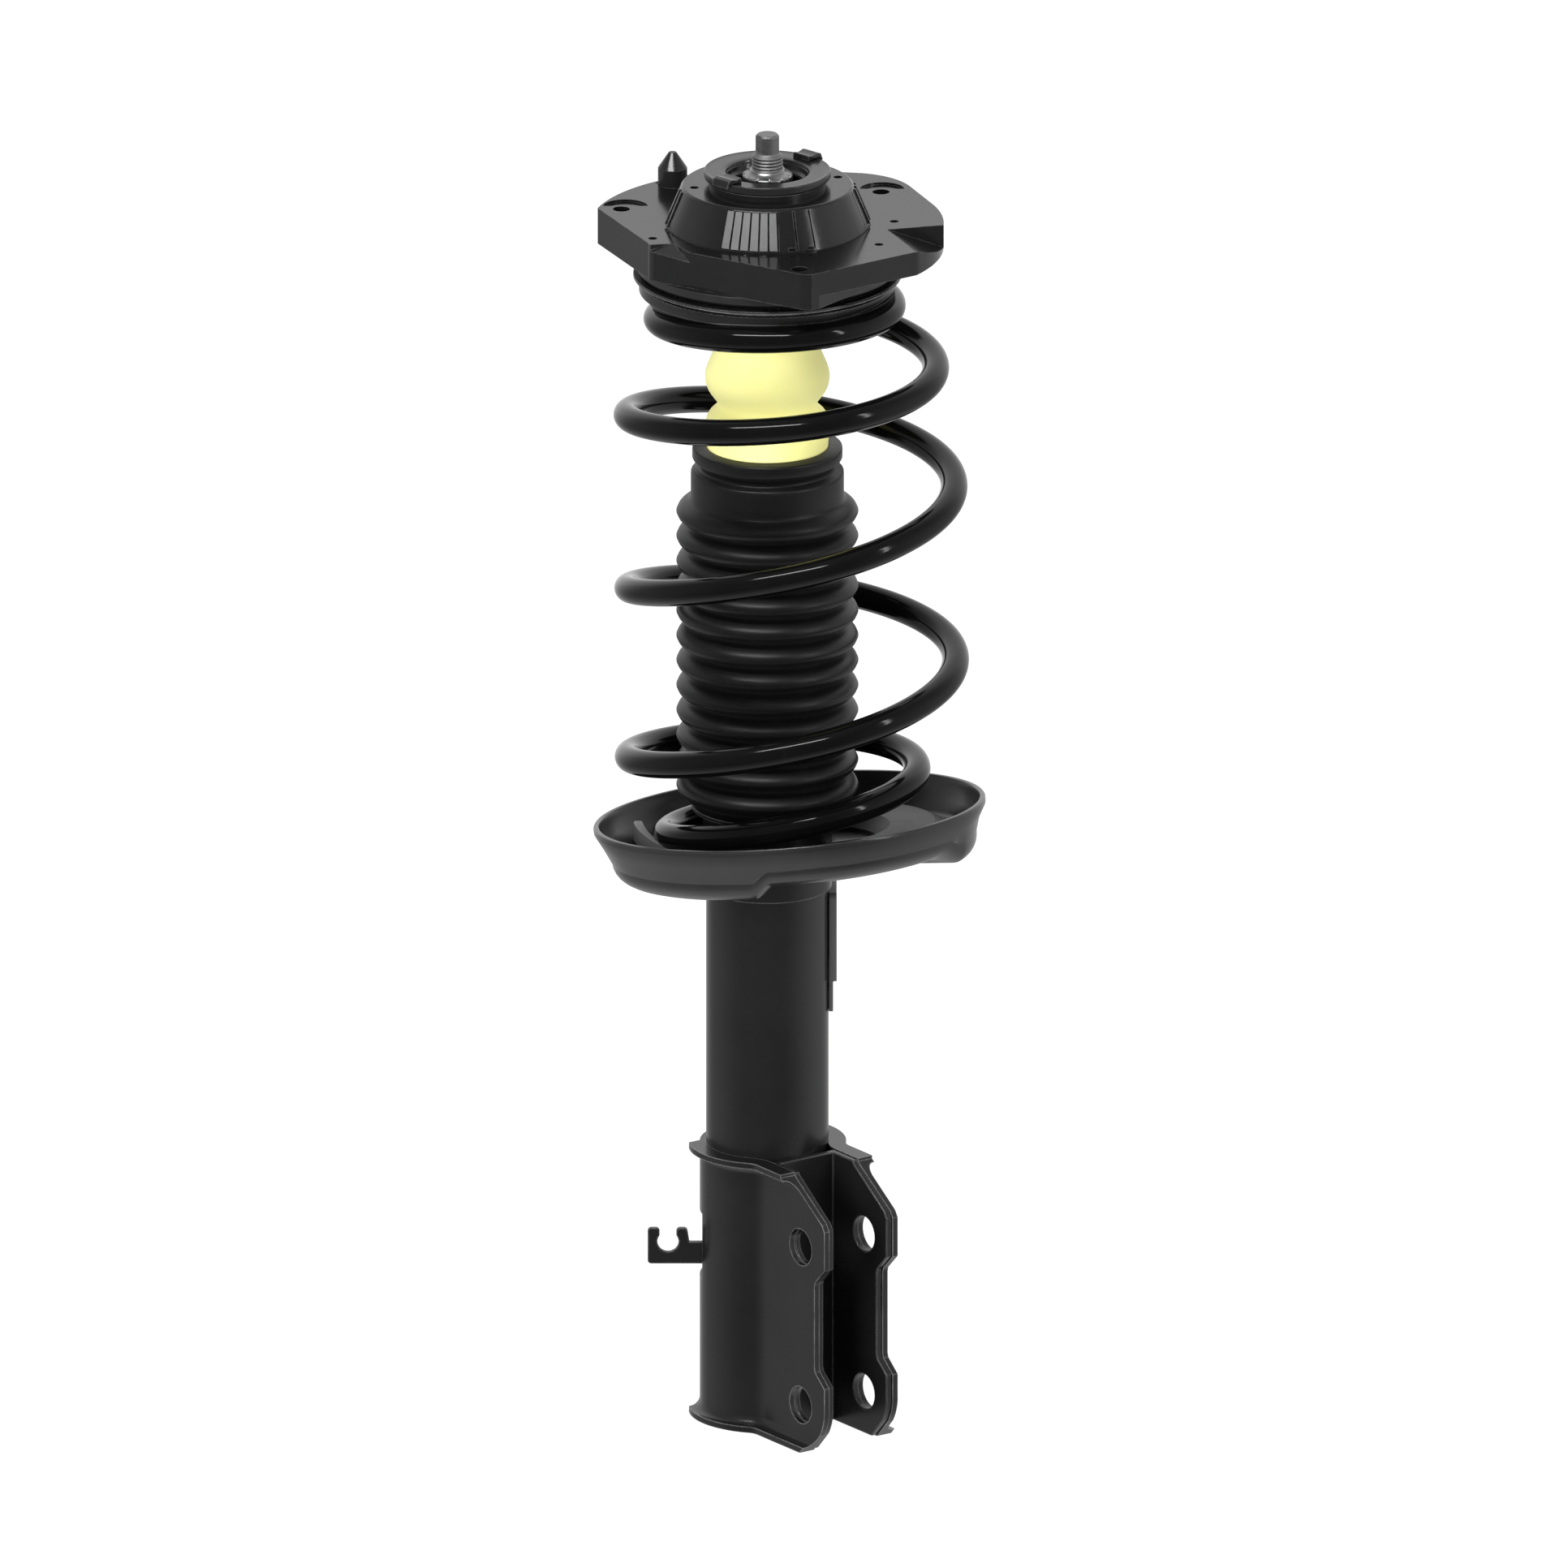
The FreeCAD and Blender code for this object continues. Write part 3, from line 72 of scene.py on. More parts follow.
class Graph:
    """A node tree, built a node at a time."""

    def __init__(self, tree):
        self.nodes = tree.nodes
        self.links = tree.links

    def add(self, kind, **settings):
        """A new node with some of its settings."""
        node = self.nodes.new(kind)
        for key, setting in settings.items():
            setattr(node, key, setting)
        return node

    def link(self, source, target):
        """Feeds an output socket into an input socket."""
        self.links.new(source, target)

    def mask(self, value, low, high):
        """Nought below low and one above high."""
        node = self.add("ShaderNodeMapRange")
        node.inputs["From Min"].default_value = low
        node.inputs["From Max"].default_value = high
        self.link(value, node.inputs["Value"])
        return node.outputs["Result"]

    def math(self, operation, one, other):
        """An operation on two terms, each a number or a socket."""
        node = self.add("ShaderNodeMath", operation=operation)
        for socket, term in zip(node.inputs, (one, other)):
            if isinstance(term, (int, float)):
                socket.default_value = term
            else:
                self.link(term, socket)
        return node.outputs["Value"]


class Shader(Graph):
    """One material's node tree."""

    def __init__(self, name):
        self.material = bpy.data.materials.new(name)
        self.material.use_nodes = True
        super().__init__(self.material.node_tree)
        self.main = self.nodes["Principled BSDF"]
        self.place = self.add("ShaderNodeTexCoord").outputs["Object"]

    def set(self, **sockets):
        """Plain values on the shader's own sockets; an underscore stands for a space."""
        for key, setting in sockets.items():
            self.main.inputs[key.replace("_", " ")].default_value = setting

    def noise(self, scale, detail, rough, stretch=None):
        """Noise fixed to the object; stretch squeezes it along each axis."""
        node = self.add("ShaderNodeTexNoise")
        node.inputs["Scale"].default_value = scale
        node.inputs["Detail"].default_value = detail
        node.inputs["Roughness"].default_value = rough
        source = self.place
        if stretch:
            mapping = self.add("ShaderNodeMapping")
            mapping.inputs["Scale"].default_value = stretch
            self.link(self.place, mapping.inputs["Vector"])
            source = mapping.outputs["Vector"]
        self.link(source, node.inputs["Vector"])
        return node.outputs["Fac"]

    def ramp(self, value, *stops):
        """Colours or greys at positions along a value."""
        node = self.add("ShaderNodeValToRGB")
        points = node.color_ramp.elements
        while len(points) < len(stops):
            points.new(0.5)
        for point, (position, colour) in zip(points, stops):
            point.position = position
            point.color = (*colour, 1)
        self.link(value, node.inputs["Fac"])
        return node.outputs["Color"]

    def mix(self, share, one, other):
        """Colour one, turning into the other as share goes to one."""
        node = self.add("ShaderNodeMix", data_type="RGBA")
        sockets = {s.name: s for s in node.inputs if s.type == "RGBA"}
        for socket, colour in ((sockets["A"], one), (sockets["B"], other)):
            if isinstance(colour, tuple):
                socket.default_value = (*colour, 1)
            else:
                self.link(colour, socket)
        self.link(share, node.inputs["Factor"])
        return [s for s in node.outputs if s.type == "RGBA"][0]

    def edges(self, radius):
        """One at sharp edges, nought on flat and gently curved faces."""
        bevel = self.add("ShaderNodeBevel", samples=6)
        bevel.inputs["Radius"].default_value = radius
        geometry = self.add("ShaderNodeNewGeometry")
        dot = self.add("ShaderNodeVectorMath", operation="DOT_PRODUCT")
        self.link(bevel.outputs["Normal"], dot.inputs[0])
        self.link(geometry.outputs["Normal"], dot.inputs[1])
        return self.mask(self.math("SUBTRACT", 1, dot.outputs["Value"]), 0.004, 0.09)

    def bump(self, *layers):
        """Stacks bumps; each layer is (height, distance in metres, strength)."""
        normal = None
        for height, distance, strength in layers:
            node = self.add("ShaderNodeBump")
            node.inputs["Distance"].default_value = distance
            node.inputs["Strength"].default_value = strength
            self.link(height, node.inputs["Height"])
            if normal:
                self.link(normal, node.inputs["Normal"])
            normal = node.outputs["Normal"]
        self.link(normal, self.main.inputs["Normal"])

    def colour(self, source):
        """The base colour."""
        self.link(source, self.main.inputs["Base Color"])

    def rough(self, source, low, high):
        """Roughness that runs between two values."""
        node = self.add("ShaderNodeMapRange")
        node.inputs["To Min"].default_value = low
        node.inputs["To Max"].default_value = high
        self.link(source, node.inputs["Value"])
        self.link(node.outputs["Result"], self.main.inputs["Roughness"])


def grey(level):
    """A colour without a tint."""
    return (level, level, level)


def paint(name, level, rough, edge_wear_and_highlight=0.5, peel=0.12, gloss=0.5):
    """Dark paint on steel: cloudy tone, orange peel, dust, fine rubs and paler edges, which are partly wear
    and partly a painted edge highlight.
    """
    s = Shader(name)
    cloud = s.noise(24, 4, 0.6)
    tone = s.ramp(cloud, (0.3, grey(level * 0.8)), (0.7, grey(level * 1.25)))
    dust = s.mask(s.noise(950, 2, 0.6), 0.68, 0.78)
    tone = s.mix(s.math("MULTIPLY", dust, 0.2), tone, grey(level * 2 + 0.03))
    rubs = s.mask(s.noise(130, 5, 0.7, (1, 1, 0.25)), 0.62, 0.8)
    tone = s.mix(s.math("MULTIPLY", rubs, 0.2), tone, grey(level * 1.8 + 0.012))
    # paler edges: partly wear, partly a painted highlight along the edges
    edge = s.math("MULTIPLY", s.edges(0.8 * MM), s.mask(s.noise(70, 4, 0.6), 0.2, 0.55))
    s.colour(s.mix(s.math("MULTIPLY", edge, edge_wear_and_highlight), tone, grey(0.2)))
    uneven = s.math("ADD", s.math("MULTIPLY", cloud, 0.6), s.math("MULTIPLY", rubs, 0.5))
    s.rough(uneven, rough - 0.04, rough + 0.1)
    s.bump((s.noise(1500, 2, 0.5), 0.00003, peel), (s.noise(300, 3, 0.5), 0.00005, peel * 0.6))
    s.set(Specular_IOR_Level=gloss)
    return s.material


def casting(name, level, rough, edge_wear_and_highlight=0.4):
    """Painted casting: grain of the mould under the paint, with paler edges that are partly wear and partly
    a painted edge highlight.
    """
    s = Shader(name)
    cloud = s.noise(30, 5, 0.65)
    grain = s.noise(520, 4, 0.7)
    tone = s.ramp(cloud, (0.3, grey(level * 0.8)), (0.72, grey(level * 1.2)))
    tone = s.mix(s.math("MULTIPLY", s.mask(grain, 0.58, 0.78), 0.25), tone, grey(level * 1.5 + 0.01))
    # paler edges: partly wear, partly a painted highlight along the edges
    edge = s.math("MULTIPLY", s.edges(0.6 * MM), s.mask(s.noise(210, 3, 0.6), 0.3, 0.65))
    s.colour(s.mix(s.math("MULTIPLY", edge, edge_wear_and_highlight), tone, grey(0.22)))
    s.rough(grain, rough - 0.05, rough + 0.08)
    s.bump((grain, 0.00005, 0.12), (s.noise(140, 3, 0.5), 0.00006, 0.1))
    s.set(Specular_IOR_Level=0.5)
    return s.material


def metal(name, level, rough):
    """Bare machined steel with fine tool lines and a slightly uneven tone."""
    s = Shader(name)
    lines = s.noise(90, 4, 0.7, (1, 1, 22))
    cloud = s.noise(60, 4, 0.6)
    tone = s.ramp(lines, (0.3, grey(level * 0.8)), (0.7, grey(level * 1.12)))
    tone = s.mix(s.math("MULTIPLY", s.mask(cloud, 0.5, 0.8), 0.35), tone, grey(level * 0.62))
    s.colour(tone)
    uneven = s.math("ADD", s.math("MULTIPLY", lines, 0.5), s.math("MULTIPLY", cloud, 0.5))
    s.rough(uneven, rough - 0.06, rough + 0.12)
    s.bump((lines, 0.00003, 0.3), (s.noise(900, 2, 0.5), 0.00002, 0.2))
    s.set(Metallic=1.0)
    return s.material


def rubber(name, level, rough, sheen):
    """Matt rubber with a moulded grain, patches of bloom and pale dust on the grain."""
    s = Shader(name)
    cloud = s.noise(35, 4, 0.6)
    grain = s.noise(1300, 3, 0.6)
    tone = s.ramp(cloud, (0.28, grey(level * 0.75)), (0.72, grey(level * 1.3)))
    bloom = s.mask(s.noise(75, 6, 0.75), 0.55, 0.8)
    tone = s.mix(s.math("MULTIPLY", bloom, 0.16), tone, grey(level * 3 + 0.02))
    s.colour(s.mix(s.math("MULTIPLY", s.mask(grain, 0.6, 0.75), 0.15), tone, grey(level * 2.4)))
    uneven = s.math("ADD", s.math("MULTIPLY", cloud, 0.5), s.math("MULTIPLY", bloom, 0.5))
    s.rough(uneven, rough - 0.08, rough + 0.1)
    s.bump((grain, 0.00005, 0.3), (s.noise(220, 3, 0.5), 0.0001, 0.2))
    s.set(Specular_IOR_Level=0.42, Sheen_Weight=sheen, Sheen_Roughness=0.5)
    return s.material


def foam():
    """Cellular polyurethane: pale yellow skin with small pores, darker between them, and a faint painted
    glow, an emission that brightens it though it is no lamp.
    """
    s = Shader("foam_yellow")
    cloud = s.noise(28, 4, 0.6)
    pores = s.add("ShaderNodeTexVoronoi", feature="DISTANCE_TO_EDGE")
    pores.inputs["Scale"].default_value = 900
    s.link(s.place, pores.inputs["Vector"])
    cells = s.mask(pores.outputs["Distance"], 0.02, 0.3)
    tone = s.ramp(cloud, (0.3, (0.93, 0.90, 0.33)), (0.7, (0.97, 0.95, 0.42)))
    s.colour(s.mix(s.math("MULTIPLY", s.math("SUBTRACT", 1, cells), 0.16), tone, (0.72, 0.66, 0.2)))
    s.rough(cloud, 0.5, 0.66)
    s.bump((cells, 0.00005, 0.18), (s.noise(500, 4, 0.6), 0.00006, 0.2))
    # painted light: the faint emission brightens the foam as if more light fell on it
    s.set(Subsurface_Weight=0.12, Subsurface_Scale=0.004, Sheen_Weight=0.1, Emission_Strength=0.12)
    s.main.inputs["Emission Color"].default_value = (1.0, 0.95, 0.35, 1)
    s.main.inputs["Subsurface Radius"].default_value = (1.0, 0.8, 0.35)
    return s.material


def plastic(name, level, rough):
    """Moulded plastic with a fine spark-eroded grain."""
    s = Shader(name)
    cloud = s.noise(50, 4, 0.6)
    grain = s.noise(1800, 2, 0.5)
    s.colour(s.ramp(cloud, (0.3, grey(level * 0.8)), (0.7, grey(level * 1.2))))
    s.rough(grain, rough - 0.07, rough + 0.08)
    s.bump((grain, 0.00004, 0.3), (s.noise(240, 3, 0.5), 0.00005, 0.15))
    s.set(Specular_IOR_Level=0.5)
    return s.material


# after each name come its tone and its roughness
MATERIALS = {
    "cast_black": casting("cast_black", 0.008, 0.14),
    "cover_black": casting("cover_black", 0.008, 0.15),
    "painted_black": paint("painted_black", 0.009, 0.27, edge_wear_and_highlight=1.0),
    "spring_black": paint("spring_black", 0.003, 0.1, edge_wear_and_highlight=0.15, peel=0.08, gloss=0.2),
    "zinc_grey": paint("zinc_grey", 0.01, 0.2),
    "bare_steel": metal("bare_steel", 0.3, 0.36),
    "nut_steel": metal("nut_steel", 0.3, 0.3),
    "rod_chrome": metal("rod_chrome", 0.26, 0.5),
    "ring_bronze": plastic("ring_bronze", 0.25, 0.45),
    "plastic_black": plastic("plastic_black", 0.012, 0.36),
    "rubber_black": rubber("rubber_black", 0.01, 0.5, sheen=0.05),
    "bellows_rubber": rubber("bellows_rubber", 0.0025, 0.46, sheen=0.01),
    "foam_yellow": foam(),
}
# painted highlight: pale paint on the cover's front facets stands in for light reflected off them
FACET_HIGHLIGHT_PAINT = casting("cover_facet_painted_highlight", 0.13, 0.3)
DISH_PAINT = paint("dish_black", 0.014, 0.24, edge_wear_and_highlight=0.3)
CLIP_PAINT = paint("clip_black", 0.006, 0.2)
# painted light: pale grey paint that makes the link bracket and the pad's lip as bright as light falling on
# them would
PAINTED_LIGHT_GREY = paint("link_grey_painted_light", 0.11, 0.35, edge_wear_and_highlight=0.9)
SLOTS = {entry["node"]: entry["material_slot"] for entry in frame["record"]["subparts"]}
BODIES = {node: body for body, nodes in frame["record"]["behaviour"]["bodies"].items() for node in nodes}
for name, slot_name in SLOTS.items():
    NODES[name].data.materials.clear()
    NODES[name].data.materials.append(MATERIALS[slot_name])


# ---- pieces ----

def add_piece(name, vertices, faces, material, body=None, sharp=32):
    """A piece from points in the shared frame, in metres, and faces, which are turned to face outwards."""
    mesh = bpy.data.meshes.new(name)
    mesh.from_pydata(vertices, [], faces)
    work = bmesh.new()
    work.from_mesh(mesh)
    bmesh.ops.recalc_face_normals(work, faces=work.faces)
    work.to_mesh(mesh)
    work.free()
    return add_mesh(name, mesh, material, body, sharp)


def add_mesh(name, mesh, material, body=None, sharp=32):
    """A piece on a body, smooth but for edges sharper than an angle in degrees."""
    mesh.validate()
    mesh.materials.clear()
    mesh.materials.append(MATERIALS[material])
    mesh.polygons.foreach_set("use_smooth", [True] * len(mesh.polygons))
    mesh.set_sharp_from_angle(angle=math.radians(sharp))
    obj = bpy.data.objects.new(name, mesh)
    bpy.context.scene.collection.objects.link(obj)
    if body:
        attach(obj, body)
    return obj


def round_edges(obj, width):
    """Rounds the edges of a piece by a width in millimetres."""
    bevel = obj.modifiers.new("edges", "BEVEL")
    bevel.width = width * MM
    bevel.segments = 2
    return bevel


def refine(node, width, material=None):
    """A copy of a CAD piece with merged faces, rounded edges and even shading; it stands for the piece."""
    merged, flat, sharp = 0.002 * MM, math.radians(0.6), math.radians(30)
    source = NODES[node]
    mesh = source.data.copy()
    mesh.name = node + "_fine"
    mesh.transform(source.matrix_world)
    work = bmesh.new()
    work.from_mesh(mesh)
    bmesh.ops.remove_doubles(work, verts=work.verts, dist=merged)
    bmesh.ops.dissolve_limit(work, angle_limit=flat, verts=work.verts, edges=work.edges)
    work.to_mesh(mesh)
    work.free()
    obj = add_mesh(node + "_fine", mesh, SLOTS[node], BODIES[node])
    if material:
        obj.data.materials[0] = material
    bevel = round_edges(obj, width)
    bevel.limit_method = "ANGLE"
    bevel.angle_limit = sharp
    bevel.miter_outer = "MITER_ARC"
    weighted = obj.modifiers.new("shading", "WEIGHTED_NORMAL")
    weighted.keep_sharp = True
    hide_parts(node)


def ring_faces(rings, count, closed=True):
    """Faces between rings of count points each; the last ring joins the first if closed."""
    faces = []
    for ring in range(rings if closed else rings - 1):
        here, there = ring * count, (ring + 1) % rings * count
        for i in range(count):
            j = (i + 1) % count
            faces.append((here + i, there + i, there + j, here + j))
    return faces


def lathe(name, profile, material, body=None, sides=128):
    """Turns a closed outline of (radius, height) points, in millimetres, about Z."""
    angles = [2 * math.pi * side / sides for side in range(sides)]
    vertices = [(r * MM * math.cos(a), r * MM * math.sin(a), z * MM) for a in angles for r, z in profile]
    return add_piece(name, vertices, ring_faces(sides, len(profile)), material, body, sharp=50)


def arc_points(centre, radius, start, stop, steps):
    """Points on an arc in the (radius, height) plane, with angles in degrees."""
    points = []
    for step in range(steps + 1):
        angle = math.radians(start + (stop - start) * step / steps)
        points.append((centre[0] + radius * math.cos(angle), centre[1] + radius * math.sin(angle)))
    return points


# turns down the wire, height of its centre, coil radius, distance of the coil's centre from the rod
COIL = (
    (-0.35, -36.0, 47.5, 10.4), (0.0, -36.0, 49.4, 10.4), (0.5, -40.5, 55.0, 10.4),
    (1.0, -65.2, 68.5, 10.6), (1.5, -83.5, 70.0, 13.2), (2.0, -119.8, 73.0, 17.0),
    (2.5, -162.0, 73.0, 19.0), (3.0, -201.3, 72.6, 18.8), (3.5, -239.8, 72.3, 18.2),
    (4.0, -254.0, 56.5, 17.0), (4.5, -275.5, 55.0, 16.7), (4.8, -276.5, 54.0, 16.7),
)
# the wire's radius and end chamfer, the heading of turn nought, and how finely it is drawn
WIRE = {"radius": 6.0, "chamfer": 0.7, "heading": -35.5, "steps": 900, "sides": 28}
# turns between which a weight for each ring of the wire runs from nought to one; nothing reads the weights
FREE_TURNS = (0.5, 4.0)
# how far each turn leans down on one side, and how much more with every turn
LEAN, LEAN_GROWTH = 2.0, 1.1


def coil_value(turn, column):
    """One column of the coil's table at a turn, by a cubic through its rows."""
    last = len(COIL) - 1
    spot = max(i for i in range(last) if COIL[i][0] <= turn or i == 0)

    def slope(index):
        low, high = max(index - 1, 0), min(index + 1, last)
        return (COIL[high][column] - COIL[low][column]) / (COIL[high][0] - COIL[low][0])

    width = COIL[spot + 1][0] - COIL[spot][0]
    part = (turn - COIL[spot][0]) / width
    return (
        (2 * part ** 3 - 3 * part ** 2 + 1) * COIL[spot][column]
        + (part ** 3 - 2 * part ** 2 + part) * width * slope(spot)
        + (3 * part ** 2 - 2 * part ** 3) * COIL[spot + 1][column]
        + (part ** 3 - part ** 2) * width * slope(spot + 1)
    )


def coil_point(turn):
    """The wire's centre at a turn, in millimetres."""
    height, coil, shift = (coil_value(turn, column) for column in (1, 2, 3))
    angle = math.radians(WIRE["heading"] - 360 * turn)
    lean = LEAN + LEAN_GROWTH * max(turn, 0)
    return Vector((coil * math.cos(angle), coil * math.sin(angle) - shift, height - lean * math.sin(angle)))


def coil_spring():
    """Wire wound from the seat down to the dish, with cut ends."""
    first, last = COIL[0][0], COIL[-1][0]
    steps, sides, full = WIRE["steps"], WIRE["sides"], WIRE["radius"]
    cut, nearby = 0.0025, 0.002
    stations = [(first, full - WIRE["chamfer"]), (first + cut, full)]
    stations += [(first + (last - first) * step / steps, full) for step in range(2, steps - 1)]
    stations += [(last - cut, full), (last, full - WIRE["chamfer"])]
    vertices, weights = [], []
    for turn, radius in stations:
        centre = coil_point(turn)
        along = (coil_point(min(turn + nearby, last)) - coil_point(max(turn - nearby, first))).normalized()
        across = along.cross(Vector((0, 0, 1))).normalized()
        upward = across.cross(along)
        for side in range(sides):
            angle = 2 * math.pi * side / sides
            vertices.append((centre + radius * (math.cos(angle) * across + math.sin(angle) * upward)) * MM)
            weights.append(min(max((turn - FREE_TURNS[0]) / (FREE_TURNS[1] - FREE_TURNS[0]), 0), 1))
    faces = [tuple(range(sides - 1, -1, -1)), tuple(range(len(vertices) - sides, len(vertices)))]
    for station in range(len(stations) - 1):
        for side in range(sides):
            here, there = station * sides, (station + 1) * sides
            after = (side + 1) % sides
            faces.append((here + side, here + after, there + after, there + side))
    obj = add_piece("spring_wire", vertices, faces, "spring_black")
    top, low = coil_point(first) * MM, coil_point(last) * MM
    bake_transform(obj)
    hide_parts("coil_spring")


FLANK_STEPS = 8
BOOT = {
    # outside of a ridge: radius of its valleys, half its height, its reach and how blunt it is
    "valley": 34.9, "half": 5.33, "reach": 5.2, "blunt": 2.3,
    # the seam on a ridge's tip: how far it stands out, half its width at the top and at the foot
    "seam": 0.28, "seam_top": 0.2, "seam_foot": 0.34,
    # how much deeper the middle of a valley is
    "dip": 0.35,
    # inside of a ridge: its arc's centre, radius and half turn, and the radius and half height at its mouth
    "centre": 32.417, "round": 4.38, "turn": 57.02, "inner": 33.5, "inside": 4.28,
    # height of the first ridge, from ridge to ridge, and how many
    "first": -133.6, "pitch": 11.58, "count": 12,
    # heights of the top, of the first free fold and of the foot, and the lower collar's height
    "top": -103.0, "high": -125.5, "low": -269.6, "collar": 3,
}


def ridge_flank(middle, steps):
    """Points on a ridge's outside, at steps from its upper valley over its tip to its lower valley."""
    points = []
    for step in steps:
        share = step / FLANK_STEPS
        reach = BOOT["reach"] * (1 - abs(share) ** BOOT["blunt"])
        points.append((BOOT["valley"] + reach, middle - BOOT["half"] * share))
    return points


def dust_bellows():
    """Boot with deep ridges, a moulded seam on each tip and two collars."""
    tip = BOOT["valley"] + BOOT["reach"]
    seam, top_half, foot_half = tip + BOOT["seam"], BOOT["seam_top"], BOOT["seam_foot"]
    outside, inside = [], []
    for ridge in range(BOOT["count"]):
        middle = BOOT["first"] - ridge * BOOT["pitch"]
        outside += ridge_flank(middle, range(-FLANK_STEPS, 0))
        outside += [(tip, middle + foot_half), (seam, middle + top_half)]
        outside += [(seam, middle - top_half), (tip, middle - foot_half)]
        outside += ridge_flank(middle, range(1, FLANK_STEPS + 1))
        if ridge < BOOT["count"] - 1:
            outside.append((BOOT["valley"] - BOOT["dip"], middle - BOOT["pitch"] / 2))
        inside.append((BOOT["inner"], middle + BOOT["inside"]))
        inside += arc_points((BOOT["centre"], middle), BOOT["round"], BOOT["turn"], -BOOT["turn"], 6)
        inside.append((BOOT["inner"], middle - BOOT["inside"]))
    top = [
        (27.2, -103), (28.2, -102.7), (28.9, -103.1), (32.6, -103.3), (33.2, -103.8), (33.35, -104.6),
        (33.35, -108.2), (33.0, -108.9), (30.4, -111.3), (29.9, -112), (29.9, -113.2), (30.4, -113.9),
        (33.3, -114.4), (33.9, -115.1), (34, -116), (34, -124.6), (34.1, -126.4), (34.4, -127.6),
    ]
    low = [(34.4, -266.8), (34, -267.3), (34, -269), (33.6, -269.6), (30.5, -269.6), (30.5, -267.6)]
    profile = top + outside + low + inside[::-1] + [(30.8, -121), (27.2, -118)]
    obj = lathe("bellows_skin", profile, "bellows_rubber", sides=144)
    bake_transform(obj)
    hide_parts("dust_bellows")


def ease(share):
    """Smooth step from nought to one."""
    share = min(max(share, 0), 1)
    return share * share * (3 - 2 * share)


ARC_STEPS = 7
DISH = {
    # its place off the rod, its tilt in degrees and the hole for the tube
    "shift": 16.7, "height": -269.0, "tilt": 8.2, "hole": 28.7,
    # rim, wall and depths of the two floors
    "rad": 87.3, "wall": 2.8, "deep": 25.8, "shallow": 20.0,
    # outside: the flare under the rim, the slope below it, the crease with its ledge, and the floor's edge
    "flare": 3.3, "flare_low": 9, "slope": 0.48, "crease": 15.5, "ledge": 1.4, "sag": 0.5, "floor_in": 17,
    # inside: where the wall turns into the floor
    "bend_in": 2.6, "bend_low": 14,
    # headings and widths in degrees: the step in the floor, the raised side and its far end
    "step": -139, "step_width": 7, "raised_width": 200, "fade": 40,
    # the foot: its heading and half width in degrees, its depth, its steeper slope and its wider floor
    "foot": -42, "foot_half": 27, "foot_deep": 4.8, "foot_slope": 0.2, "foot_out": 6, "foot_gain": 1.8,
}


def dish_shape(angle):
    """Depth of the floor at a heading, and how fully the raised side and the foot are there."""
    past_step = (angle - DISH["step"]) % 360
    rise, fall = past_step / DISH["step_width"], (DISH["raised_width"] - past_step) / DISH["fade"]
    raised = min(ease(rise), ease(fall))
    past_foot = (angle - DISH["foot"] + 180) % 360 - 180
    foot = ease(DISH["foot_gain"] * (1 - abs(past_foot) / DISH["foot_half"]))
    depth = DISH["deep"] - (DISH["deep"] - DISH["shallow"]) * raised + DISH["foot_deep"] * foot
    return depth, raised, foot


def quarter(start, stop, shares):
    """Points on a quarter of an ellipse that leaves start upright and reaches stop level."""
    points = []
    for share in shares:
        turn = math.pi / 2 * share
        points.append((
            stop[0] + (start[0] - stop[0]) * math.cos(turn),
            start[1] + (stop[1] - start[1]) * math.sin(turn),
        ))
    return points


def dish_ring(angle):
    """The dish's wall in the (radius, height) plane at a heading."""
    rad, wall, flare_low = DISH["rad"], DISH["wall"], DISH["flare_low"]
    flared = rad - DISH["flare"]
    depth, raised, foot = dish_shape(angle)
    outside = [
        (rad - wall, -1.0), (rad - wall + 0.5, -0.25), (rad - wall / 2, 0), (rad - 0.5, -0.25), (rad, -1.0),
        (rad - 0.1, -3), (flared, -flare_low),
    ]
    knee = min(depth - flare_low, DISH["crease"] + (depth - DISH["crease"]) * (1 - raised))
    knee_rad = flared - (knee - flare_low) * (DISH["slope"] - DISH["foot_slope"] * foot)
    start = (knee_rad - DISH["ledge"] * raised * (1 - foot), -knee - DISH["sag"] * raised)
    stop = (rad - DISH["floor_in"] + DISH["foot_out"] * foot, -depth)
    shares = [step / ARC_STEPS for step in range(ARC_STEPS + 1)]
    outside += [(knee_rad, -knee), start]
    outside += quarter(start, stop, shares[1:])
    bend = (flared - wall - DISH["bend_in"], -DISH["bend_low"])
    inside = quarter(bend, (stop[0], wall - depth), shares[::-1])
    inside += [(flared - wall, -flare_low), (rad - wall, -3)]
    plan, tilt = math.radians(angle), math.radians(DISH["tilt"])
    offset = (DISH["shift"] + depth * math.sin(tilt)) / math.cos(tilt)
    hole = offset * math.sin(plan) + math.sqrt(DISH["hole"] ** 2 - (offset * math.cos(plan)) ** 2)
    return outside + [(hole, -depth), (hole, wall - depth)] + inside


def spring_dish():
    """Deep tilted dish with a rolled rim, a soft step in its floor and a crease under its raised side."""
    sides = 360
    place = Matrix.Translation((0, -DISH["shift"] * MM, DISH["height"] * MM))
    place @= Matrix.Rotation(math.radians(-DISH["tilt"]), 4, "X")
    vertices = []
    for side in range(sides):
        angle = side * 360 / sides
        plan = math.radians(angle)
        ring = dish_ring(angle)
        vertices += [place @ (Vector((r * math.cos(plan), r * math.sin(plan), z)) * MM) for r, z in ring]
    faces = ring_faces(sides, len(ring))
    obj = add_piece("dish_fine", vertices, faces, "painted_black", "strut_tube", sharp=40)
    obj.data.materials[0] = DISH_PAINT
    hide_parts("lower_spring_dish")


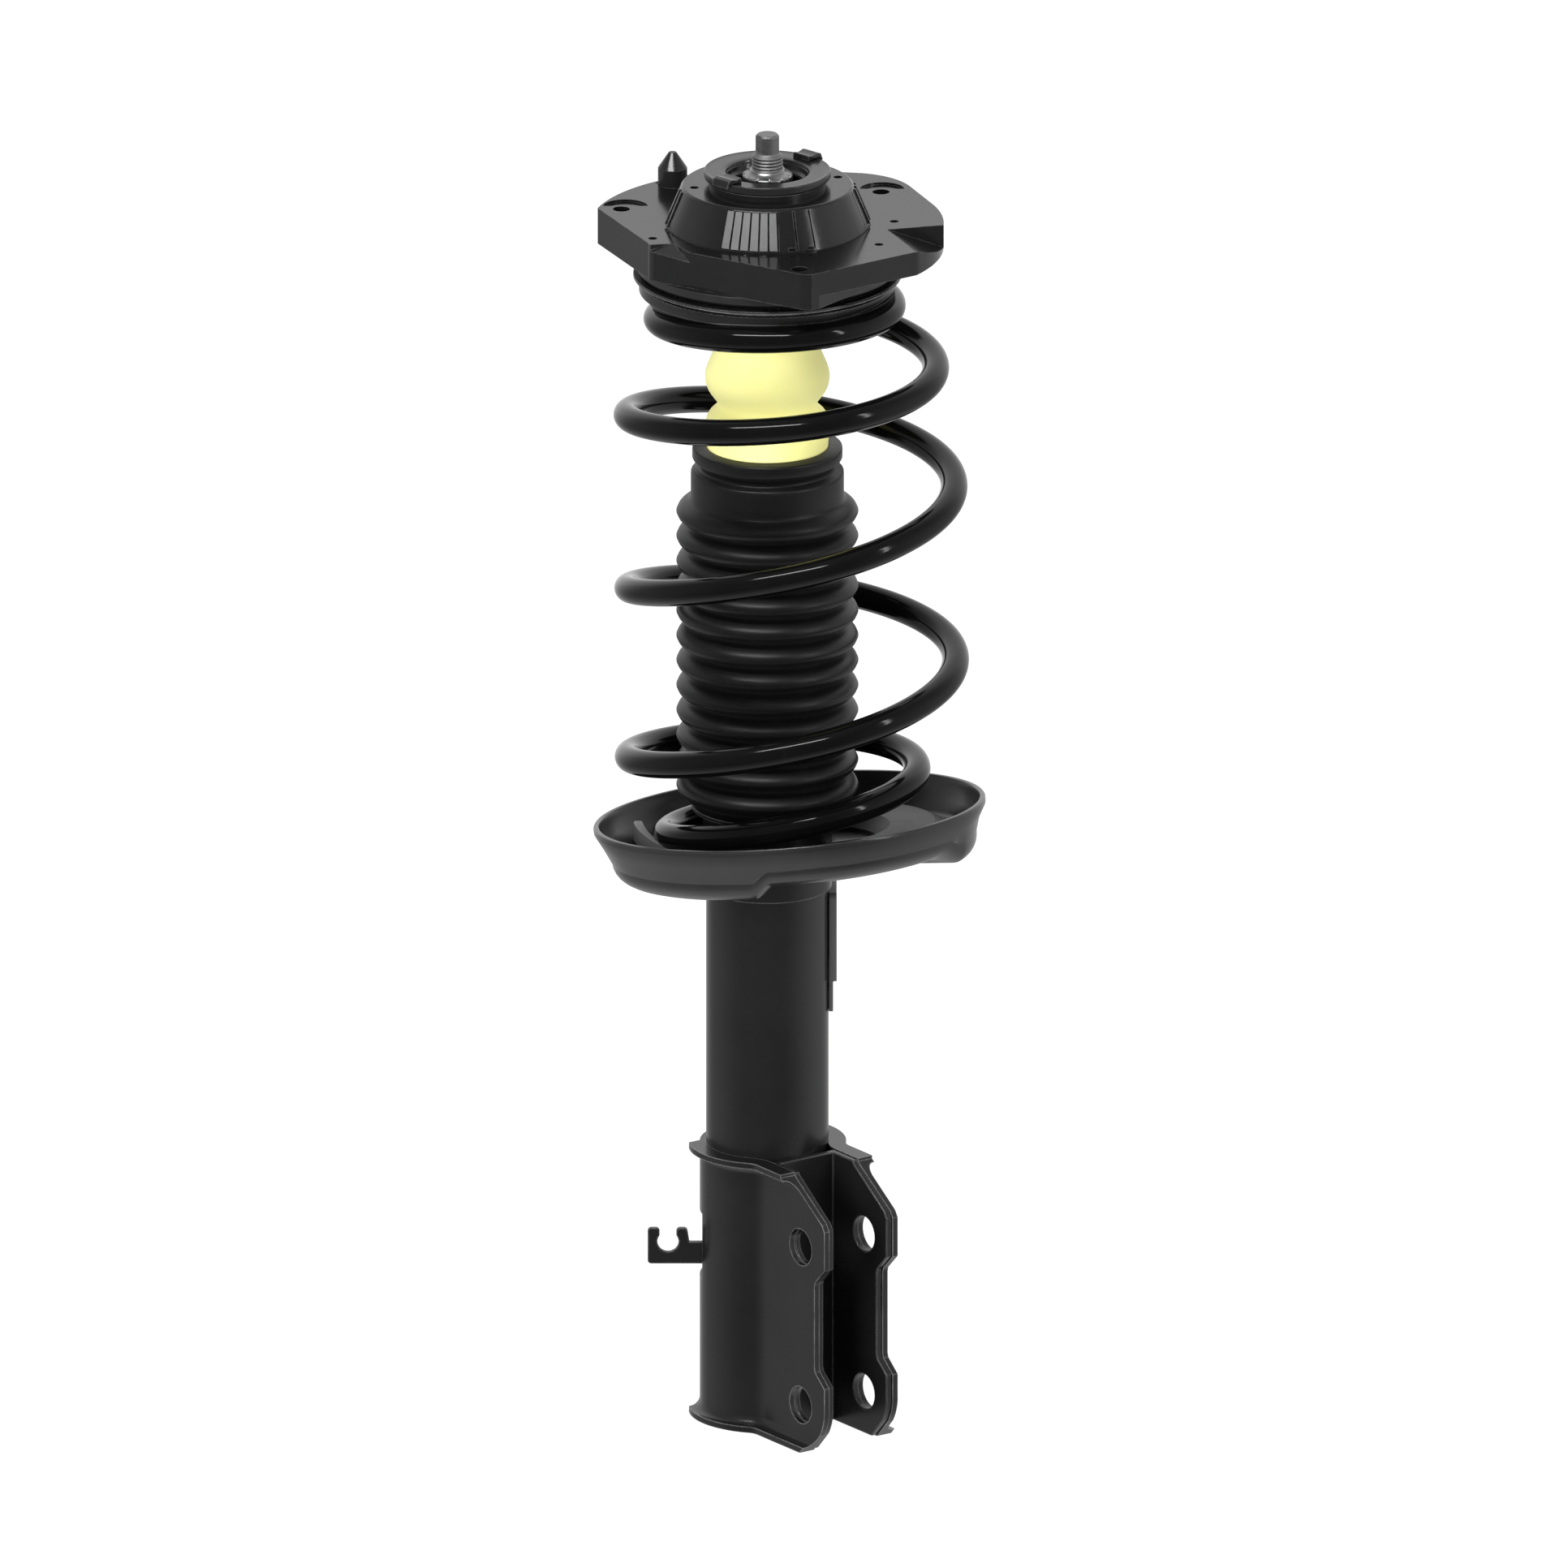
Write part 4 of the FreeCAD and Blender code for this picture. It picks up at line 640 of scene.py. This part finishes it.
def pad_lip():
    """Curved lip on the pad outside the wire's end; it narrows and sinks towards its far end, and its pale
    grey paint is a painted highlight.
    """
    start, stop, steps = 150, 186, 18
    inner, low, edge = 55.6, -285, 0.6
    high, sinking = -276.6, 2.2
    wide, narrowing = 59.6, 2
    vertices = []
    for step in range(steps + 1):
        share = step / steps
        angle = math.radians(start + (stop - start) * share)
        top = high - sinking * ease(share)
        outer = wide - narrowing * ease(share)
        section = [
            (inner, low), (inner, top - edge), (inner + edge, top),
            (outer - edge, top), (outer, top - edge), (outer, low),
        ]
        vertices += [(r * MM * math.cos(angle), r * MM * math.sin(angle), z * MM) for r, z in section]
    count = len(section)
    faces = ring_faces(steps + 1, count, closed=False)
    faces.append(tuple(range(count)))
    faces.append(tuple(steps * count + i for i in reversed(range(count))))
    obj = add_piece("pad_lip", vertices, faces, "rubber_black", BODIES["lower_isolator"])
    # painted highlight: the pale grey paint stands in for light glancing off the lip
    obj.data.materials[0] = PAINTED_LIGHT_GREY


def foam_stop():
    """Foam stop with two round lobes and a tight waist, slightly domed at its foot."""
    # from the bore at the foot, over the lower lobe, the waist, the upper lobe and the neck
    outside = [
        (11.4, -116), (20.5, -116), (23.4, -115.4), (25.4, -113.6), (26.4, -111), (26.9, -106),
        (27.1, -101), (27.6, -96.5), (27.5, -93.2), (26.9, -90.2), (25.6, -87.9), (23.9, -86.3),
        (22.7, -85.2), (22.15, -84.1), (22.25, -82.9), (23.0, -81.3), (24.6, -79.2), (26.2, -76.8),
        (27.2, -74.3), (27.65, -71.6), (27.55, -69.2), (27.0, -66.9), (26.0, -64.3), (24.8, -61.5),
        (23.5, -58.4), (22.3, -54.8), (21.3, -50.6), (20.6, -45.5), (20.2, -40), (20, -34),
        (20, -27.5), (15.4, -27.5), (15.4, -25.2), (11.4, -22.6),
    ]
    first_round, last_round = 1, 27
    smooth = []
    for index, point in enumerate(outside):
        smooth.append(point)
        if first_round <= index <= last_round:
            before, after, later = outside[index - 1], outside[index + 1], outside[index + 2]
            smooth.append(tuple(
                (-before[i] + 9 * point[i] + 9 * after[i] - later[i]) / 16 for i in range(2)
            ))
    obj = lathe("foam_lobes", smooth, "foam_yellow", "upper_seat")
    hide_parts("bump_stop")


def nut_bell():
    """Flared foot nut: a hollow-sided bell with a notched brim."""
    profile = [
        (7.02, 13.5), (10.2, 13.5), (11.0, 17), (11.3, 18), (11.35, 22.2), (11.2, 22.9), (10.7, 23.35),
        (9.9, 23.6), (9.1, 23.95), (8.45, 24.4), (8.0, 24.9), (7.75, 25.4), (7.5, 25.65), (7.02, 25.7),
    ]
    obj = lathe("nut_bell", profile, "nut_steel", "mount", sides=360)
    spacing, half, brim, cut = 30, 2.6, 10.5, 0.93
    for vertex in obj.data.vertices:
        turn = math.degrees(math.atan2(vertex.co.y, vertex.co.x)) % spacing
        if math.hypot(vertex.co.x, vertex.co.y) > brim * MM and min(turn, spacing - turn) < half:
            vertex.co.x *= cut
            vertex.co.y *= cut
    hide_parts("top_nut")


def disc_lip():
    """Rolled flange inside the rebound disc's opening, with a step at its foot."""
    profile = [
        (18.6, 23.2), (18.25, 23.0), (17.9, 22.3), (17.8, 20.9), (17.3, 20.3), (16.3, 20.0), (15.9, 19.6),
        (15.9, 18.9), (17.4, 18.9), (18.2, 19.4), (18.6, 20.2),
    ]
    lathe("disc_flange", profile, "zinc_grey", "mount", sides=160)


def cover_radius(height):
    """Radius of the cover's sloping side at a height over the plate."""
    foot, top = (45.2, 1.0), (38.4, 17.4)
    return foot[0] + (top[0] - foot[0]) * (height - foot[1]) / (top[1] - foot[1])


def cover_panel(name, start, stop, low, high, proud, material=None):
    """A flat panel that stands proud of the cover's side, between two headings and two heights."""
    sunk = -0.6
    vertices = []
    for height in (low, high):
        radius = cover_radius(height)
        for side in (start, stop):
            angle = math.radians(side)
            for out in (proud, sunk):
                reach = (radius + out) * MM
                vertices.append((reach * math.cos(angle), reach * math.sin(angle), height * MM))
    faces = [(0, 2, 6, 4), (1, 5, 7, 3), (0, 4, 5, 1), (2, 3, 7, 6), (4, 6, 7, 5), (0, 1, 3, 2)]
    obj = add_piece(name, vertices, faces, "cover_black", "mount")
    if material:
        obj.data.materials[0] = material
    round_edges(obj, 0.12)


def cover_panels():
    """Flat facets between the front grooves, with pale paint as a painted highlight, and thin ribs at the
    cover's flanks.
    """
    first, step, groove = -147.2, 5.6, 1.1
    low, high, proud = 1.4, 17.0, 0.3
    for panel, place in enumerate((0, 1, 2, 3, 4, -1)):
        start = first + step * place + groove / 2
        # each facet gets the pale paint of the painted highlight
        cover_panel("cover_facet_%d" % panel, start, start + step - groove, low, high, proud, FACET_HIGHLIGHT_PAINT)
    half, low, high, proud = 0.9, 1.2, 17.2, 0.8
    for middle in (150, 156.5, -40, -33, -27):
        cover_panel("cover_flank_%d" % round(middle), middle - half, middle + half, low, high, proud)


# width of the rounded edge of each refined piece, in millimetres
REFINED = {
    "mount_plate": 0.35, "cone_cover": 0.25, "locator_pin": 0.2, "rebound_disc": 0.3, "rim_clips": 0.3,
    "top_washer": 0.2, "piston_rod": 0.1, "upper_race": 0.3, "upper_spring_seat": 0.3,
    "dish_hub": 0.3, "link_bracket": 0.4, "hose_bracket": 0.35,
    "knuckle_bracket": 0.45, "bracket_liner": 0.4, "outer_tube": 0.3, "lower_isolator": 0.6,
    "upper_isolator": 0.5,
}
# the clips get a darker paint; the link bracket gets the pale grey of painted light
REPAINTED = {"rim_clips": CLIP_PAINT, "link_bracket": PAINTED_LIGHT_GREY}
for node_name, bevel_width in REFINED.items():
    refine(node_name, bevel_width, material=REPAINTED.get(node_name))
coil_spring()
dust_bellows()
spring_dish()
pad_lip()
foam_stop()
nut_bell()
disc_lip()
cover_panels()


# ---- camera, light and floor ----

def heading(plan, climb=0):
    """Unit vector at an angle from X in the plan and a climb over the horizon, in degrees."""
    turn, rise = math.radians(plan), math.radians(climb)
    return Vector((math.cos(turn) * math.cos(rise), math.sin(turn) * math.cos(rise), math.sin(rise)))


VIEW = {"back": heading(-125.5, 17.8), "width": 0.6955, "aim": Vector((0.006, -0.0043, -0.2612)), "away": 2}
# name, way from the object to the lamp, distance, width, height, watts, whether reflections show it
LAMPS = (
    ("front_fill", heading(-162, 12), 1.8, 1.0, 1.0, 33, False),
    ("streak", heading(-148, 58), 1.4, 0.9, 0.12, 9, True),
    ("streak_right", heading(-68, 30), 1.4, 0.08, 0.8, 2.5, True),
    ("right_fill", heading(-78, 8), 1.8, 0.8, 0.8, 12, False),
)
# the room's light from every side
ROOM_LIGHT = 0.17
# more light from some sides: its way, the cosines where it starts and where it is full, and its strength
LOBES = (
    (heading(-30.5), 0.35, 1.0, 0.62), (heading(135), 0.5, 1.0, 0.3), (heading(54.5, 20), 0.35, 0.85, 0.8),
    (Vector((0, 0, -1)), 0.25, 0.85, 0.85), (Vector((0, 0, 1)), 0.3, 1.0, 0.2),
)


def camera():
    """Distant view from the left front, a little above, with parallel lines."""
    data = bpy.data.cameras.new("camera")
    data.type = "ORTHO"
    data.ortho_scale = VIEW["width"]
    data.clip_start, data.clip_end = 0.01, 20
    obj = bpy.data.objects.new("camera", data)
    bpy.context.scene.collection.objects.link(obj)
    obj.rotation_mode = "QUATERNION"
    obj.rotation_quaternion = (-VIEW["back"]).to_track_quat("-Z", "Y")
    obj.location = VIEW["aim"] + VIEW["back"] * VIEW["away"]
    bpy.context.scene.camera = obj


def softbox(name, away, distance, width, height, power, glossy):
    """A rectangular lamp that faces the middle of the object."""
    lamp = bpy.data.lights.new(name, "AREA")
    lamp.shape = "RECTANGLE"
    lamp.size, lamp.size_y = width, height
    lamp.energy = power
    obj = bpy.data.objects.new(name, lamp)
    bpy.context.scene.collection.objects.link(obj)
    middle = (CAD_BOX[0] + CAD_BOX[1]) / 2
    obj.location = middle + away * distance
    obj.rotation_euler = away.to_track_quat("Z", "Y").to_euler()
    obj.visible_glossy = glossy


def surroundings():
    """White to the camera; to the surfaces a room bright behind, below and at the right, dim in front."""
    world = bpy.data.worlds.new("room")
    bpy.context.scene.world = world
    world.use_nodes = True
    graph = Graph(world.node_tree)
    graph.nodes.clear()
    way = graph.add("ShaderNodeTexCoord").outputs["Generated"]
    light = ROOM_LIGHT
    for direction, low, high, strength in LOBES:
        dot = graph.add("ShaderNodeVectorMath", operation="DOT_PRODUCT")
        graph.link(way, dot.inputs[0])
        dot.inputs[1].default_value = direction
        share = graph.mask(dot.outputs["Value"], low, high)
        lobe = graph.math("MULTIPLY", graph.math("MULTIPLY", share, share), strength)
        light = graph.math("ADD", light, lobe)
    room, white = graph.add("ShaderNodeBackground"), graph.add("ShaderNodeBackground")
    for node in (room, white):
        node.inputs["Color"].default_value = (1, 1, 1, 1)
        node.inputs["Strength"].default_value = 1.0
    graph.link(light, room.inputs["Strength"])
    mixer = graph.add("ShaderNodeMixShader")
    graph.link(graph.add("ShaderNodeLightPath").outputs["Is Camera Ray"], mixer.inputs["Fac"])
    graph.link(room.outputs["Background"], mixer.inputs[1])
    graph.link(white.outputs["Background"], mixer.inputs[2])
    graph.link(mixer.outputs["Shader"], graph.add("ShaderNodeOutputWorld").inputs["Surface"])


def floor():
    """Plain floor under the lowest point, lit so evenly that it reads as white."""
    low = CAD_BOX[0].z
    side = 6
    corners = [(-side, -side, low), (side, -side, low), (side, side, low), (-side, side, low)]
    mesh = bpy.data.meshes.new("floor")
    mesh.from_pydata(corners, [], [(0, 1, 2, 3)])
    obj = bpy.data.objects.new("floor", mesh)
    bpy.context.scene.collection.objects.link(obj)
    s = Shader("floor")
    s.set(Base_Color=(0.25, 0.25, 0.25, 1), Roughness=0.9, Specular_IOR_Level=0.0)
    s.set(Emission_Color=(1, 1, 1, 1), Emission_Strength=0.93)
    mesh.materials.append(s.material)
    obj.visible_diffuse = False
    obj.visible_glossy = False


camera()
surroundings()
floor()
for lamp_values in LAMPS:
    softbox(*lamp_values)
bpy.context.scene.view_settings.view_transform = "Standard"
